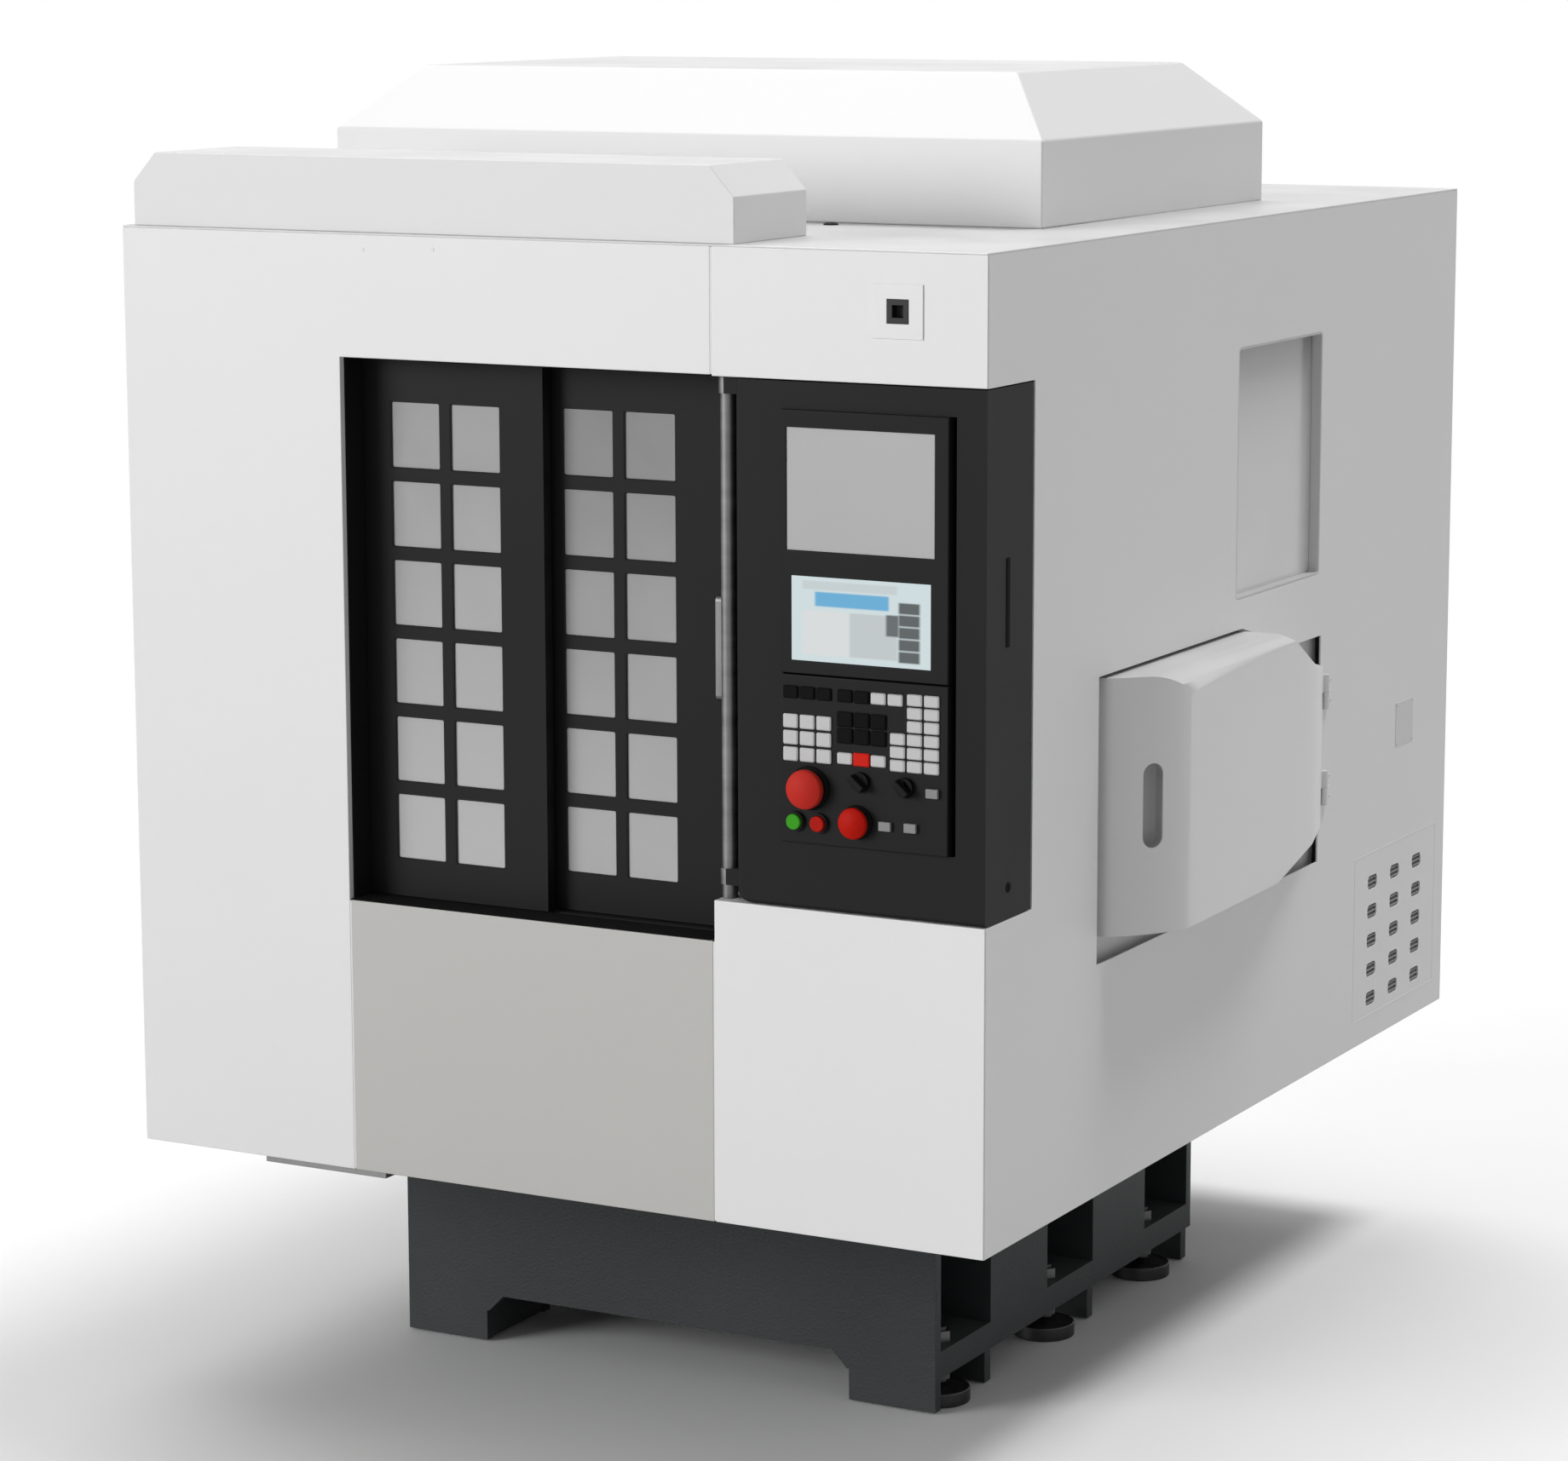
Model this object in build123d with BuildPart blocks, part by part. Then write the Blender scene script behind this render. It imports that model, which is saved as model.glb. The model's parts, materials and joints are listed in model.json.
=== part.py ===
# Compact enclosed CNC machining center, millimetres.
# +X to the operator's right, +Y to the back, +Z up. The origin is on the floor,
# under the middle of the whole machine.
import os

from build123d import *

os.makedirs("parts", exist_ok=True)

# Enclosure: the folded sheet box that stands clear of the floor
cab_w = 1530
cab_d = 1950
cab_h = 1500
cab_lift = 390          # floor to the lower edge of the sheets
sheet = 3
seam = 2                # gap between neighbouring sheets
fit_gap = 0.3           # gap between pieces that only nearly touch
return_w = 18           # folded return at a sheet's edge
upstand = 36            # floor pan's front edge above the sheets' lower edge

# Side cover and rear door stand proud of the box, the buttons in front of it
bulge = 90
rear_door_t = 22
estop_reach = 30
module_rise = 8

# Door opening in the front
door_x = 410            # left edge of the opening, from the left sheet
door_in = 458           # right edge of the opening, from the right sheet
sill_h = 442            # sill above the sheets' lower edge
band_h = 194            # front sheet over the opening
door_setback = 60       # front sheet to the first door's face

# Sliding doors
slide_t = 22
slide_gap = 8           # between the two doors
slide_overlap = 37      # the closed doors over each other
slide_hide = 25         # closed trailing door's edge behind the left panel
pane_t = 5
light_w = 92            # one window in the door sheet
light_px = 110
light_bar = 18          # bar between two windows, one above the other
light_r = 4
light_rows = 6
light_rise = 113        # door's lower edge to the lowest windows' middle
light_drop = 122        # door's upper edge to the highest windows' middle
lead_light_shift = 24.5 # leading door's windows left of its middle
tongue_t = 6
tongue_h = 10
rail_h = 28
handle_h = 164
handle_w = 16
handle_rise = 356       # door's lower edge to the handle's foot
handle_depth = 26
handle_bar = 8
handle_in = 5           # door's free edge to the handle
handle_round = 10

# Control pendant, in a recess of the front right corner
post_r = 12
post_in = 445           # from the right sheet
post_y = 30
pendant_w = 417
pendant_d = 155
recess_z = 506          # recess floor above the sheets' lower edge
recess_w = 466
recess_back = 162
pendant_gap = 2
pendant_wall = 3
knuckle_r = 14.5
knuckle_h = 45
corner_r = 20           # rounded lower left corner of the front
fold_r = 6
lock_r = 8
lock_l = 25
lock_proud = 1
lock_y = 79
lock_up = 49            # recess floor to the lock
module_in = 336         # right sheet to the modules' left edge
module_w = 278
module_up = 104         # recess floor to the key module
key_module_h = 256
module_drop = 43        # recess top to the screen module
module_depth = 22
groove_w = 9            # dark joint at the right of the modules

# Service port over the pendant
port_in = 145           # from the right sheet
port_above = 9          # over the middle of the band
port_size = 36
port_plate_w = 83
port_plate_h = 81
port_plate_t = 2
port_depth = 26

# Base casting and its feet
base_w = 1000
base_y = 375            # front sheet to the base's front face
base_d = 1030
bed_h = 700
leg_w = 156
leg_clear = 3
arch_h = 83
arch_chamfer = 32
pad_z0 = 55
pad_z1 = 100
apron_t = 20
rib_t = 22
deck_t = 60
pocket_l = 184
pocket_in = 112
pocket_top = 340
foot_r = 52
foot_h = 24
foot_cone_r = 42
foot_cone_h = 8
foot_in = 33            # foot's middle inside the base's side face
foot_back = 58          # foot's middle behind the pocket's front edge
stud_r = 12
stud_over = 6           # stud above its upper nut
tray_in_x = 228         # coolant tray, from the left and front sheets
tray_in_y = 14
tray_w = 232
tray_d = 300
tray_h = 13
nut_af = 36
nut_h = 18

# Roof hoods
hood_a_x = 17
hood_a_w = 1090
hood_a_y = 10
hood_a_d = 230
hood_a_wall = 70
hood_a_h = 116
hood_a_inset = 42
hood_b_x = 48
hood_b_w = 1312
hood_b_y = 544
hood_b_d = 896
hood_b_wall = 136
hood_b_h = 238
hood_b_in_x = 101
hood_b_in_y = 120
hood_t = 3
hood_foot = 12          # width of the hood's foot around the roof opening

# Right side: window, covered opening, vents
win_y = 940
win_l = 365
win_z = 876
win_h = 414
win_r = 8
win_depth = 18
win_wall = 4
side_pane_t = 4
hatch_y = 400
hatch_l = 920
hatch_z = 372
hatch_h = 454
hatch_slope_l = 352     # sloped part of the opening's upper edge, from its rear
hatch_slope_in = 117    # and the level part behind it
hatch_slope_h = 58
cover_lift = 40         # opening's lower edge to the cover's
cover_top_gap = 6
cover_front_gap = 28
cover_rear_gap = 8
cover_in = 14           # how far the cover's rim reaches behind the sheet's outer face
cover_nose = 125        # length of the curved front
nose_mid_x = 57         # a point on the curve: out from the sheet
nose_mid_y = 54         # and back from the cover's front edge
cover_flat = 540
cover_fall = 10         # how far the flat face sinks towards the back
cover_edge = 8          # height of the cover's rear edge over the sheet
cover_t = 3
cover_round = 40        # radius of the upper edge of the raised face
cover_round_low = 12    # and of its lower edge
cover_cut_l = 113       # cut upper rear corner of the raised face
cover_cut_h = 64
cover_low_cut_l = 156   # and the cut lower one
cover_low_cut_h = 38
cover_rear_fall = 40    # how far the upper edge falls from there to the cover's rear
cover_rear_low = 24     # rear edge's lower end to the cover's lower edge
slot_w = 36
slot_h = 134
slot_z = 204            # cover's lower edge to the slot's middle
vent_back = 141         # rear sheet to the last column
vent_z = 76
vent_py = 110
vent_pz = 53
vent_w = 44
vent_h = 24
vent_cols = 3
vent_rows = 5

# Hinges of the side cover and the rear door
pin_r = 4
pin_gap = 0.05
barrel_r = 7
barrel_h = 30
barrel_gap = 1          # barrel to the sheet behind it
leaf_l = 30
cover_hinge_back = 7    # cover's rear edge to the barrels
cover_hinge_low = 90
cover_hinge_high = 150
rear_hinge_low = 120
rear_hinge_high = 180

# Rear of the box and the electrical cabinet
rear_door_w = 1100
rear_door_top = 130     # roof to the door's upper edge
rear_door_x = 215
rear_door_z = 130
rear_lap = 16           # the door laps the opening's edge
cabinet_gap = 65        # base casting to the cabinet plate
drive_n = 4
drive_w = 130
drive_h = 360
drive_d = 190
drive_pitch = 230
gland_r = 22
gland_neck_r = 16.5
gland_bore = 12
gland_len = 18
gland_back = 8          # neck's end behind the sheet
gland_in = 120          # box's right side to the gland
gland_up = 60           # sheets' lower edge to the gland

# Work zone: bed, table, bridge and heads
spindle_y = 720         # front sheet to the spindles' axes
rail_w = 34
bed_rail_h = 24
run_gap = 0.3           # running gap of the slideways
run_floor = 6           # runner's underside above its seat
bed_rail_span = 420
rail_end = 12           # rails stop short of the casting's edge
table_w = 500
table_l = 420
table_t = 60
runner_w = 74
runner_h = 34
runner_l = 310
table_bolt_px = 400
table_bolt_py = 320
table_bolt_r = 6
table_bolt_l = 30
track_t = 4
track_w = 80
column_w = 130
bridge_d = 240
beam_z = 1120
beam_h = 280
beam_rail_w = 24
beam_rail_span = 160
saddle_w = 420
saddle_z = 1080
saddle_h = 460
saddle_t = 60
head_pitch = 220
head_w = 150
head_d = 174
head_z = 1060
head_h = 440
head_round = 14
head_rail_w = 20
head_rail_span = 90
cartridge_r = 50
cartridge_drop = 96
rotor_r = 20
nose_r = 32
nose_h = 24
nose_round = 4
collet_r = 8
collet_l = 40

# Levels and datum planes that follow from the sizes above
control_reach = module_rise + estop_reach
left = -(cab_w + bulge) / 2
right = left + cab_w
front = -(cab_d + rear_door_t - control_reach) / 2
rear = front + cab_d
low = cab_lift
high = cab_lift + cab_h
sill = low + sill_h
lintel = high - band_h
door_left = left + door_x
door_right = right - door_in
recess_floor = low + recess_z
recess_top = lintel - seam
wall_x = right - recess_w
wall_y = front + recess_back


def block(x0, x1, y0, y1, z0, z1, mode=Mode.ADD):
    # A box between two corners
    with Locations((x0, y0, z0)):
        Box(x1 - x0, y1 - y0, z1 - z0, align=(Align.MIN, Align.MIN, Align.MIN), mode=mode)


def rod(x, y, z, radius, length, mode=Mode.ADD):
    # An upright cylinder standing on z
    with Locations((x, y, z)):
        Cylinder(radius, length, align=(Align.CENTER, Align.CENTER, Align.MIN), mode=mode)


def peg(x, y, z, radius, length, mode=Mode.ADD):
    # A cylinder lying along Y, from y towards the back
    with Locations(Location((x, y, z), (-90, 0, 0))):
        Cylinder(radius, length, align=(Align.CENTER, Align.CENTER, Align.MIN), mode=mode)


# Base casting: a deep bed on six leg stations, hollow underneath.
# The front apron and the ribs behind each pocket reach almost to the floor.
base_x0 = left + (cab_w - base_w) / 2
base_x1 = base_x0 + base_w
base_y0 = front + base_y
base_y1 = base_y0 + base_d
pocket_y = [
    base_y0 + apron_t + i * (base_d - 2 * apron_t - pocket_l) / 2 for i in range(3)
]
foot_points = [
    (x, y + foot_back) for x in (base_x0 + foot_in, base_x1 - foot_in) for y in pocket_y
]
bay_l = (base_d - 2 * apron_t - 2 * rib_t) / 3

with BuildPart() as base_casting:
    block(base_x0, base_x1, base_y0, base_y1, pad_z0, bed_h)
    for x0, x1 in ((base_x0, base_x0 + leg_w), (base_x1 - leg_w, base_x1)):
        block(x0, x1, base_y0, base_y0 + apron_t, leg_clear, pad_z0)
        for y in pocket_y:
            block(x0, x1, y + pocket_l - rib_t, y + pocket_l, leg_clear, pad_z0)
    with BuildSketch(Plane.XZ.offset(-base_y0)):
        with BuildLine():
            Polyline(
                (base_x0 + leg_w, 0),
                (base_x0 + leg_w, arch_h - arch_chamfer),
                (base_x0 + leg_w + arch_chamfer, arch_h),
                (base_x1 - leg_w - arch_chamfer, arch_h),
                (base_x1 - leg_w, arch_h - arch_chamfer),
                (base_x1 - leg_w, 0),
                close=True,
            )
        make_face()
    extrude(amount=-base_d, mode=Mode.SUBTRACT)
    for i in range(3):
        bay_y = base_y0 + apron_t + i * (bay_l + rib_t)
        block(base_x0 + leg_w, base_x1 - leg_w, bay_y, bay_y + bay_l, 0, bed_h - deck_t, Mode.SUBTRACT)
    for y in pocket_y:
        block(base_x0, base_x0 + pocket_in, y, y + pocket_l, pad_z1, pocket_top, Mode.SUBTRACT)
        block(base_x1 - pocket_in, base_x1, y, y + pocket_l, pad_z1, pocket_top, Mode.SUBTRACT)
    for x, y in foot_points:
        rod(x, y, pad_z0, stud_r + fit_gap, pad_z1 - pad_z0, Mode.SUBTRACT)
base_casting.part.label = "base_casting"

# Levelling feet: a turned steel pad with its threaded stud, one under each pocket
with BuildPart() as levelling_feet:
    for x, y in foot_points:
        rod(x, y, 0, foot_r, foot_h)
        with Locations((x, y, foot_h)):
            Cone(foot_cone_r, stud_r, foot_cone_h, align=(Align.CENTER, Align.CENTER, Align.MIN))
        rod(x, y, foot_h, stud_r, pad_z1 + nut_h + stud_over - foot_h)
levelling_feet.part.label = "levelling_feet"

# Nuts above and below each pad
with BuildPart() as levelling_nuts:
    for z in (pad_z0 - nut_h, pad_z1):
        with BuildSketch(Plane.XY.offset(z)):
            with Locations(*foot_points):
                RegularPolygon(nut_af / 2, 6, major_radius=False)
                Circle(stud_r, mode=Mode.SUBTRACT)
        extrude(amount=nut_h)
levelling_nuts.part.label = "levelling_nuts"

# Floor pan: closes the box below and fits round the base.
# A front upstand carries the lower front sheets.
with BuildPart() as floor_pan:
    block(left + sheet, right - sheet, front + sheet, rear - sheet, low, low + sheet)
    block(left + sheet, right - sheet, front + sheet, front + 2 * sheet, low + sheet, low + upstand)
    with BuildSketch(Plane.XY.offset(low)):
        with Locations(((base_x0 + base_x1) / 2, (base_y0 + base_y1) / 2)):
            Rectangle(base_w + 2 * fit_gap, base_d + 2 * fit_gap)
    extrude(amount=sheet, mode=Mode.SUBTRACT)
floor_pan.part.label = "floor_pan"

# Coolant tray: a shallow folded tray under the left overhang, open at the top
tray_x = left + tray_in_x
tray_y = front + tray_in_y
with BuildPart() as coolant_tray:
    block(tray_x, tray_x + tray_w, tray_y, tray_y + tray_d, low - tray_h, low)
    block(
        tray_x + sheet, tray_x + tray_w - sheet, tray_y + sheet, tray_y + tray_d - sheet,
        low - tray_h + sheet, low, Mode.SUBTRACT,
    )
coolant_tray.part.label = "coolant_tray"

# Front left panel: one L-shaped sheet, full height at the left, with the band
# over the doors. Its returns line the left and upper edge of the door opening.
band_right = door_right - seam / 2
with BuildPart() as front_left_panel:
    with BuildSketch(Plane.XZ.offset(-front)):
        with BuildLine():
            Polyline(
                (left, low),
                (door_left, low),
                (door_left, lintel),
                (band_right, lintel),
                (band_right, high - sheet),
                (left, high - sheet),
                close=True,
            )
        make_face()
    extrude(amount=-sheet)
    block(door_left - sheet, door_left, front, front + door_setback - seam, sill, lintel + sheet)
    block(door_left - sheet, wall_x, front, front + door_setback - seam, lintel, lintel + sheet)
front_left_panel.part.label = "front_left_panel"

# Front upper right panel: a sheet with a return over the pendant recess and a
# square hole for the service port
port_x = right - port_in
port_z = (recess_top + high) / 2 + port_above
with BuildPart() as front_upper_right_panel:
    block(door_right + seam / 2, right, front, front + sheet, recess_top, high - sheet)
    block(door_right + seam / 2, right - sheet, front, wall_y, recess_top, recess_top + sheet)
    block(
        port_x - port_size / 2, port_x + port_size / 2, front, front + sheet,
        port_z - port_size / 2, port_z + port_size / 2, Mode.SUBTRACT,
    )
front_upper_right_panel.part.label = "front_upper_right_panel"

# Service port plate, and the black port that sits in it
with BuildPart() as port_plate:
    block(
        port_x - port_plate_w / 2, port_x + port_plate_w / 2, front - port_plate_t, front,
        port_z - port_plate_h / 2, port_z + port_plate_h / 2,
    )
    block(
        port_x - port_size / 2, port_x + port_size / 2, front - port_plate_t, front,
        port_z - port_size / 2, port_z + port_size / 2, Mode.SUBTRACT,
    )
port_plate.part.label = "port_plate"

with BuildPart() as port_socket:
    block(
        port_x - port_size / 2, port_x + port_size / 2, front - port_plate_t, front + port_depth,
        port_z - port_size / 2, port_z + port_size / 2,
    )
    block(
        port_x - port_size / 4, port_x + port_size / 4, front - port_plate_t, front + port_depth / 2,
        port_z - port_size / 4, port_z + port_size / 4, Mode.SUBTRACT,
    )
port_socket.part.label = "port_socket"

# Front lower middle panel, with a return that makes the sill
middle_x0 = door_left + seam
middle_x1 = door_right - seam / 2
with BuildPart() as front_lower_middle_panel:
    block(middle_x0, middle_x1, front, front + sheet, low, sill)
    block(middle_x0, wall_x, front, front + door_setback - 2 * seam, sill - sheet, sill)
front_lower_middle_panel.part.label = "front_lower_middle_panel"

# Front lower right panel, with a shelf return that is the recess floor
with BuildPart() as front_lower_right_panel:
    block(door_right + seam / 2, right, front, front + sheet, low, recess_floor)
    block(door_right + seam / 2, right - sheet, front, wall_y, recess_floor - sheet, recess_floor)
front_lower_right_panel.part.label = "front_lower_right_panel"

# Pendant recess panel: a folded wall behind the pendant and beside the doors
with BuildPart() as pendant_recess_panel:
    block(wall_x, wall_x + sheet, front + door_setback - seam, wall_y + sheet, recess_floor - sheet, lintel)
    block(wall_x, right - sheet, wall_y, wall_y + sheet, recess_floor - sheet, recess_top + sheet)
pendant_recess_panel.part.label = "pendant_recess_panel"

# Left side panel: one plain sheet with returns at its front and rear edges
with BuildPart() as left_side_panel:
    block(left, left + sheet, front + sheet, rear - sheet, low, high - sheet)
    block(left, left + return_w, front + sheet, front + 2 * sheet, low + upstand, high - sheet)
    block(left, left + return_w, rear - 2 * sheet, rear - sheet, low + sheet, high - sheet)
left_side_panel.part.label = "left_side_panel"

# Right side panel: cut away for the pendant, with the window and hatch
# openings and three columns of vents into the electrical cabinet
side_mid = right - sheet
hatch_y0 = front + hatch_y
hatch_y1 = hatch_y0 + hatch_l
hatch_z0 = low + hatch_z
hatch_z1 = hatch_z0 + hatch_h
with BuildPart() as right_side_panel:
    block(side_mid, right, front + sheet, rear - sheet, low, high - sheet)
    block(side_mid, right, front, wall_y, recess_floor, recess_top, Mode.SUBTRACT)
    block(right - return_w, right, rear - 2 * sheet, rear - sheet, low + sheet, high - sheet)
    with BuildSketch(Plane.YZ.offset(side_mid)):
        with Locations((front + win_y + win_l / 2, low + win_z + win_h / 2)):
            RectangleRounded(win_l, win_h, win_r)
        with BuildLine():
            Polyline(
                (hatch_y0, hatch_z0),
                (hatch_y1, hatch_z0),
                (hatch_y1, hatch_z1 - hatch_slope_h),
                (hatch_y1 - hatch_slope_in, hatch_z1 - hatch_slope_h),
                (hatch_y1 - hatch_slope_l, hatch_z1),
                (hatch_y0, hatch_z1),
                close=True,
            )
        make_face()
        with Locations((
            rear - vent_back - vent_py * (vent_cols - 1) / 2,
            low + vent_z + vent_pz * (vent_rows - 1) / 2,
        )):
            with GridLocations(vent_py, vent_pz, vent_cols, vent_rows):
                RectangleRounded(vent_w, vent_h, vent_h / 3)
    extrude(amount=sheet, mode=Mode.SUBTRACT)
right_side_panel.part.label = "right_side_panel"

# Side window frame: a deep dark ring in the sheet, with a lip behind for the pane
with BuildPart() as side_window_frame:
    with BuildSketch(Plane.YZ.offset(right - win_depth)):
        with Locations((front + win_y + win_l / 2, low + win_z + win_h / 2)):
            RectangleRounded(win_l, win_h, win_r)
            RectangleRounded(
                win_l - 2 * win_wall, win_h - 2 * win_wall, win_r - win_wall, mode=Mode.SUBTRACT
            )
    extrude(amount=win_depth)
side_window_frame.part.label = "side_window_frame"

with BuildPart() as side_window_pane:
    with BuildSketch(Plane.YZ.offset(right - win_depth - side_pane_t)):
        with Locations((front + win_y + win_l / 2, low + win_z + win_h / 2)):
            RectangleRounded(win_l, win_h, win_r)
    extrude(amount=side_pane_t)
side_window_pane.part.label = "side_window_pane"

# Side cover: a hollow pillow-shaped lid in the hatch opening. Its front is
# curved and holds a vertical finger slot. It swings on a rear hinge.
cover_y0 = hatch_y0 + cover_front_gap
cover_y1 = hatch_y1 - cover_rear_gap
cover_z0 = hatch_z0 + cover_lift
cover_z1 = hatch_z1 - cover_top_gap
cover_rim = right - cover_in
cover_tip = right + bulge
hinge_x = right + barrel_r + barrel_gap
hinge_y = cover_y1 + barrel_r + cover_hinge_back
cover_hinge_z = [cover_z0 + cover_hinge_low, cover_z1 - cover_hinge_high]


def cover_plan(inset):
    # The cover's outline from above, drawn inside by the inset
    with BuildSketch(Plane.XY.offset(cover_z0)) as plan:
        with BuildLine():
            nose = ThreePointArc(
                (right + inset, cover_y0 + inset),
                (right + nose_mid_x - inset / 2, cover_y0 + nose_mid_y + inset),
                (cover_tip - inset, cover_y0 + cover_nose),
            )
            Polyline(
                nose @ 1,
                (cover_tip - cover_fall - inset, cover_y0 + cover_nose + cover_flat),
                (right + cover_edge - inset, cover_y1 - inset),
                (cover_rim, cover_y1 - inset),
                (cover_rim, cover_y0 + inset),
                nose @ 0,
            )
        make_face()
    return plan.sketch


def cover_side(inset):
    # The cover's outline from the side: the raised face has two cut rear corners
    face_y1 = cover_y0 + cover_nose + cover_flat
    low_z = cover_z0 + inset
    high_z = cover_z1 - inset
    with BuildSketch(Plane.YZ.offset(cover_rim)) as side:
        with BuildLine():
            Polyline(
                (cover_y0 + inset, low_z),
                (face_y1 - cover_low_cut_l, low_z),
                (face_y1, low_z + cover_low_cut_h),
                (cover_y1 - inset, low_z + cover_rear_low),
                (cover_y1 - inset, high_z - cover_cut_h - cover_rear_fall),
                (face_y1, high_z - cover_cut_h),
                (face_y1 - cover_cut_l, high_z),
                (cover_y0 + inset, high_z),
                close=True,
            )
        make_face()
    return side.sketch


def cover_end(inset):
    # The cover's outline from the front, with its rounded upper and lower edges
    with BuildSketch(Plane.XZ.offset(-cover_y0)) as end:
        with Locations(((cover_rim + cover_tip - inset) / 2, (cover_z0 + cover_z1) / 2)):
            Rectangle(cover_tip - inset - cover_rim, cover_z1 - cover_z0 - 2 * inset)
        outer = vertices().group_by(Axis.X)[-1].sort_by(Axis.Y)
        fillet(outer[-1], radius=cover_round - inset)
        fillet(outer[0], radius=cover_round_low - inset)
    return end.sketch


with BuildPart() as cover_core:
    extrude(cover_plan(cover_t), amount=cover_z1 - cover_z0)
    extrude(cover_side(cover_t), amount=cover_in + bulge, mode=Mode.INTERSECT)
    extrude(cover_end(cover_t), amount=cover_y0 - cover_y1, mode=Mode.INTERSECT)

with BuildPart() as side_cover:
    extrude(cover_plan(0), amount=cover_z1 - cover_z0)
    extrude(cover_side(0), amount=cover_in + bulge, mode=Mode.INTERSECT)
    extrude(cover_end(0), amount=cover_y0 - cover_y1, mode=Mode.INTERSECT)
    add(cover_core.part, mode=Mode.SUBTRACT)
    slot_plane = Plane(
        origin=(right + nose_mid_x, cover_y0 + nose_mid_y, cover_z0 + slot_z),
        x_dir=(0, 0, 1),
        z_dir=(cover_nose, -bulge, 0),
    )
    with BuildSketch(slot_plane):
        SlotOverall(slot_h, slot_w)
    extrude(amount=bulge, both=True, mode=Mode.SUBTRACT)
    for z in cover_hinge_z:
        block(right + barrel_gap, hinge_x, cover_y1 - 2 * cover_t, hinge_y, z + fit_gap, z + barrel_h)
        rod(hinge_x, hinge_y, z + fit_gap, barrel_r, barrel_h - fit_gap)
        rod(hinge_x, hinge_y, z, pin_r + pin_gap, barrel_h, Mode.SUBTRACT)
side_cover.part.label = "side_cover"

# Rear panel with the opening of the electrical cabinet and the cable gland hole
gland_x = right - gland_in
gland_z = low + gland_up
door_x0 = left + rear_door_x
door_x1 = door_x0 + rear_door_w
door_z0 = low + rear_door_z
door_z1 = high - rear_door_top
with BuildPart() as rear_panel:
    block(left, right, rear - sheet, rear, low, high - sheet)
    block(
        door_x0 + rear_lap, door_x1 - rear_lap, rear - sheet, rear,
        door_z0 + rear_lap, door_z1 - rear_lap, Mode.SUBTRACT,
    )
    peg(gland_x, rear - sheet, gland_z, gland_neck_r, sheet, Mode.SUBTRACT)
rear_panel.part.label = "rear_panel"

# Cable gland: the inlet of the supply cable, in the rear panel
with BuildPart() as cable_gland:
    peg(gland_x, rear, gland_z, gland_r, gland_len)
    peg(gland_x, rear - sheet - gland_back, gland_z, gland_neck_r, sheet + gland_back)
    peg(
        gland_x, rear - sheet - gland_back, gland_z, gland_bore,
        gland_len + sheet + gland_back, Mode.SUBTRACT,
    )
cable_gland.part.label = "cable_gland"

# Rear cabinet door: a tray-shaped sheet door that laps the opening
rear_hinge_x = door_x0 - barrel_r - sheet
rear_hinge_y = rear + barrel_r + barrel_gap
rear_hinge_z = [door_z0 + rear_hinge_low, door_z1 - rear_hinge_high]
with BuildPart() as rear_cabinet_door:
    block(door_x0, door_x1, rear + fit_gap, rear + rear_door_t, door_z0, door_z1)
    block(
        door_x0 + sheet, door_x1 - sheet, rear + fit_gap, rear + rear_door_t - sheet,
        door_z0 + sheet, door_z1 - sheet, Mode.SUBTRACT,
    )
    for z in rear_hinge_z:
        block(
            rear_hinge_x, door_x0 + sheet, rear_hinge_y - sheet, rear_hinge_y,
            z + fit_gap, z + barrel_h,
        )
        rod(rear_hinge_x, rear_hinge_y, z + fit_gap, barrel_r, barrel_h - fit_gap)
        rod(rear_hinge_x, rear_hinge_y, z, pin_r + pin_gap, barrel_h, Mode.SUBTRACT)
rear_cabinet_door.part.label = "rear_cabinet_door"

# Hinge pins: each pin stands on a fixed barrel, whose leaf lies on the sheet
with BuildPart() as hinge_pins:
    for z in cover_hinge_z:
        rod(hinge_x, hinge_y, z - barrel_h, barrel_r, barrel_h)
        rod(hinge_x, hinge_y, z, pin_r, barrel_h)
        block(right, hinge_x, hinge_y, hinge_y + leaf_l, z - barrel_h, z)
    for z in rear_hinge_z:
        rod(rear_hinge_x, rear_hinge_y, z - barrel_h, barrel_r, barrel_h)
        rod(rear_hinge_x, rear_hinge_y, z, pin_r, barrel_h)
        block(rear_hinge_x - leaf_l, rear_hinge_x, rear, rear_hinge_y, z - barrel_h, z)
hinge_pins.part.label = "hinge_pins"

# Roof panel with the opening under the top hood
with BuildPart() as roof_panel:
    block(left, right, front, rear, high - sheet, high)
    block(
        left + hood_b_x + hood_foot, left + hood_b_x + hood_b_w - hood_foot,
        front + hood_b_y + hood_foot, front + hood_b_y + hood_b_d - hood_foot,
        high - sheet, high, Mode.SUBTRACT,
    )
roof_panel.part.label = "roof_panel"


def hood_a_outline(inset):
    # Front hood seen from the front: a low box with sloped upper corners
    x0 = left + hood_a_x + inset
    x1 = left + hood_a_x + hood_a_w - inset
    with BuildSketch(Plane.XZ.offset(-front - hood_a_y - inset)) as outline:
        with BuildLine():
            Polyline(
                (x0, high),
                (x0, high + hood_a_wall - inset / 2),
                (x0 + hood_a_inset, high + hood_a_h - inset),
                (x1 - hood_a_inset, high + hood_a_h - inset),
                (x1, high + hood_a_wall - inset / 2),
                (x1, high),
                close=True,
            )
        make_face()
    return outline.sketch


# Front roof hood over the doors: a folded cap with sloped ends, open below
with BuildPart() as front_hood:
    extrude(hood_a_outline(0), amount=-hood_a_d)
    extrude(hood_a_outline(hood_t), amount=2 * hood_t - hood_a_d, mode=Mode.SUBTRACT)
front_hood.part.label = "front_hood"


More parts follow.
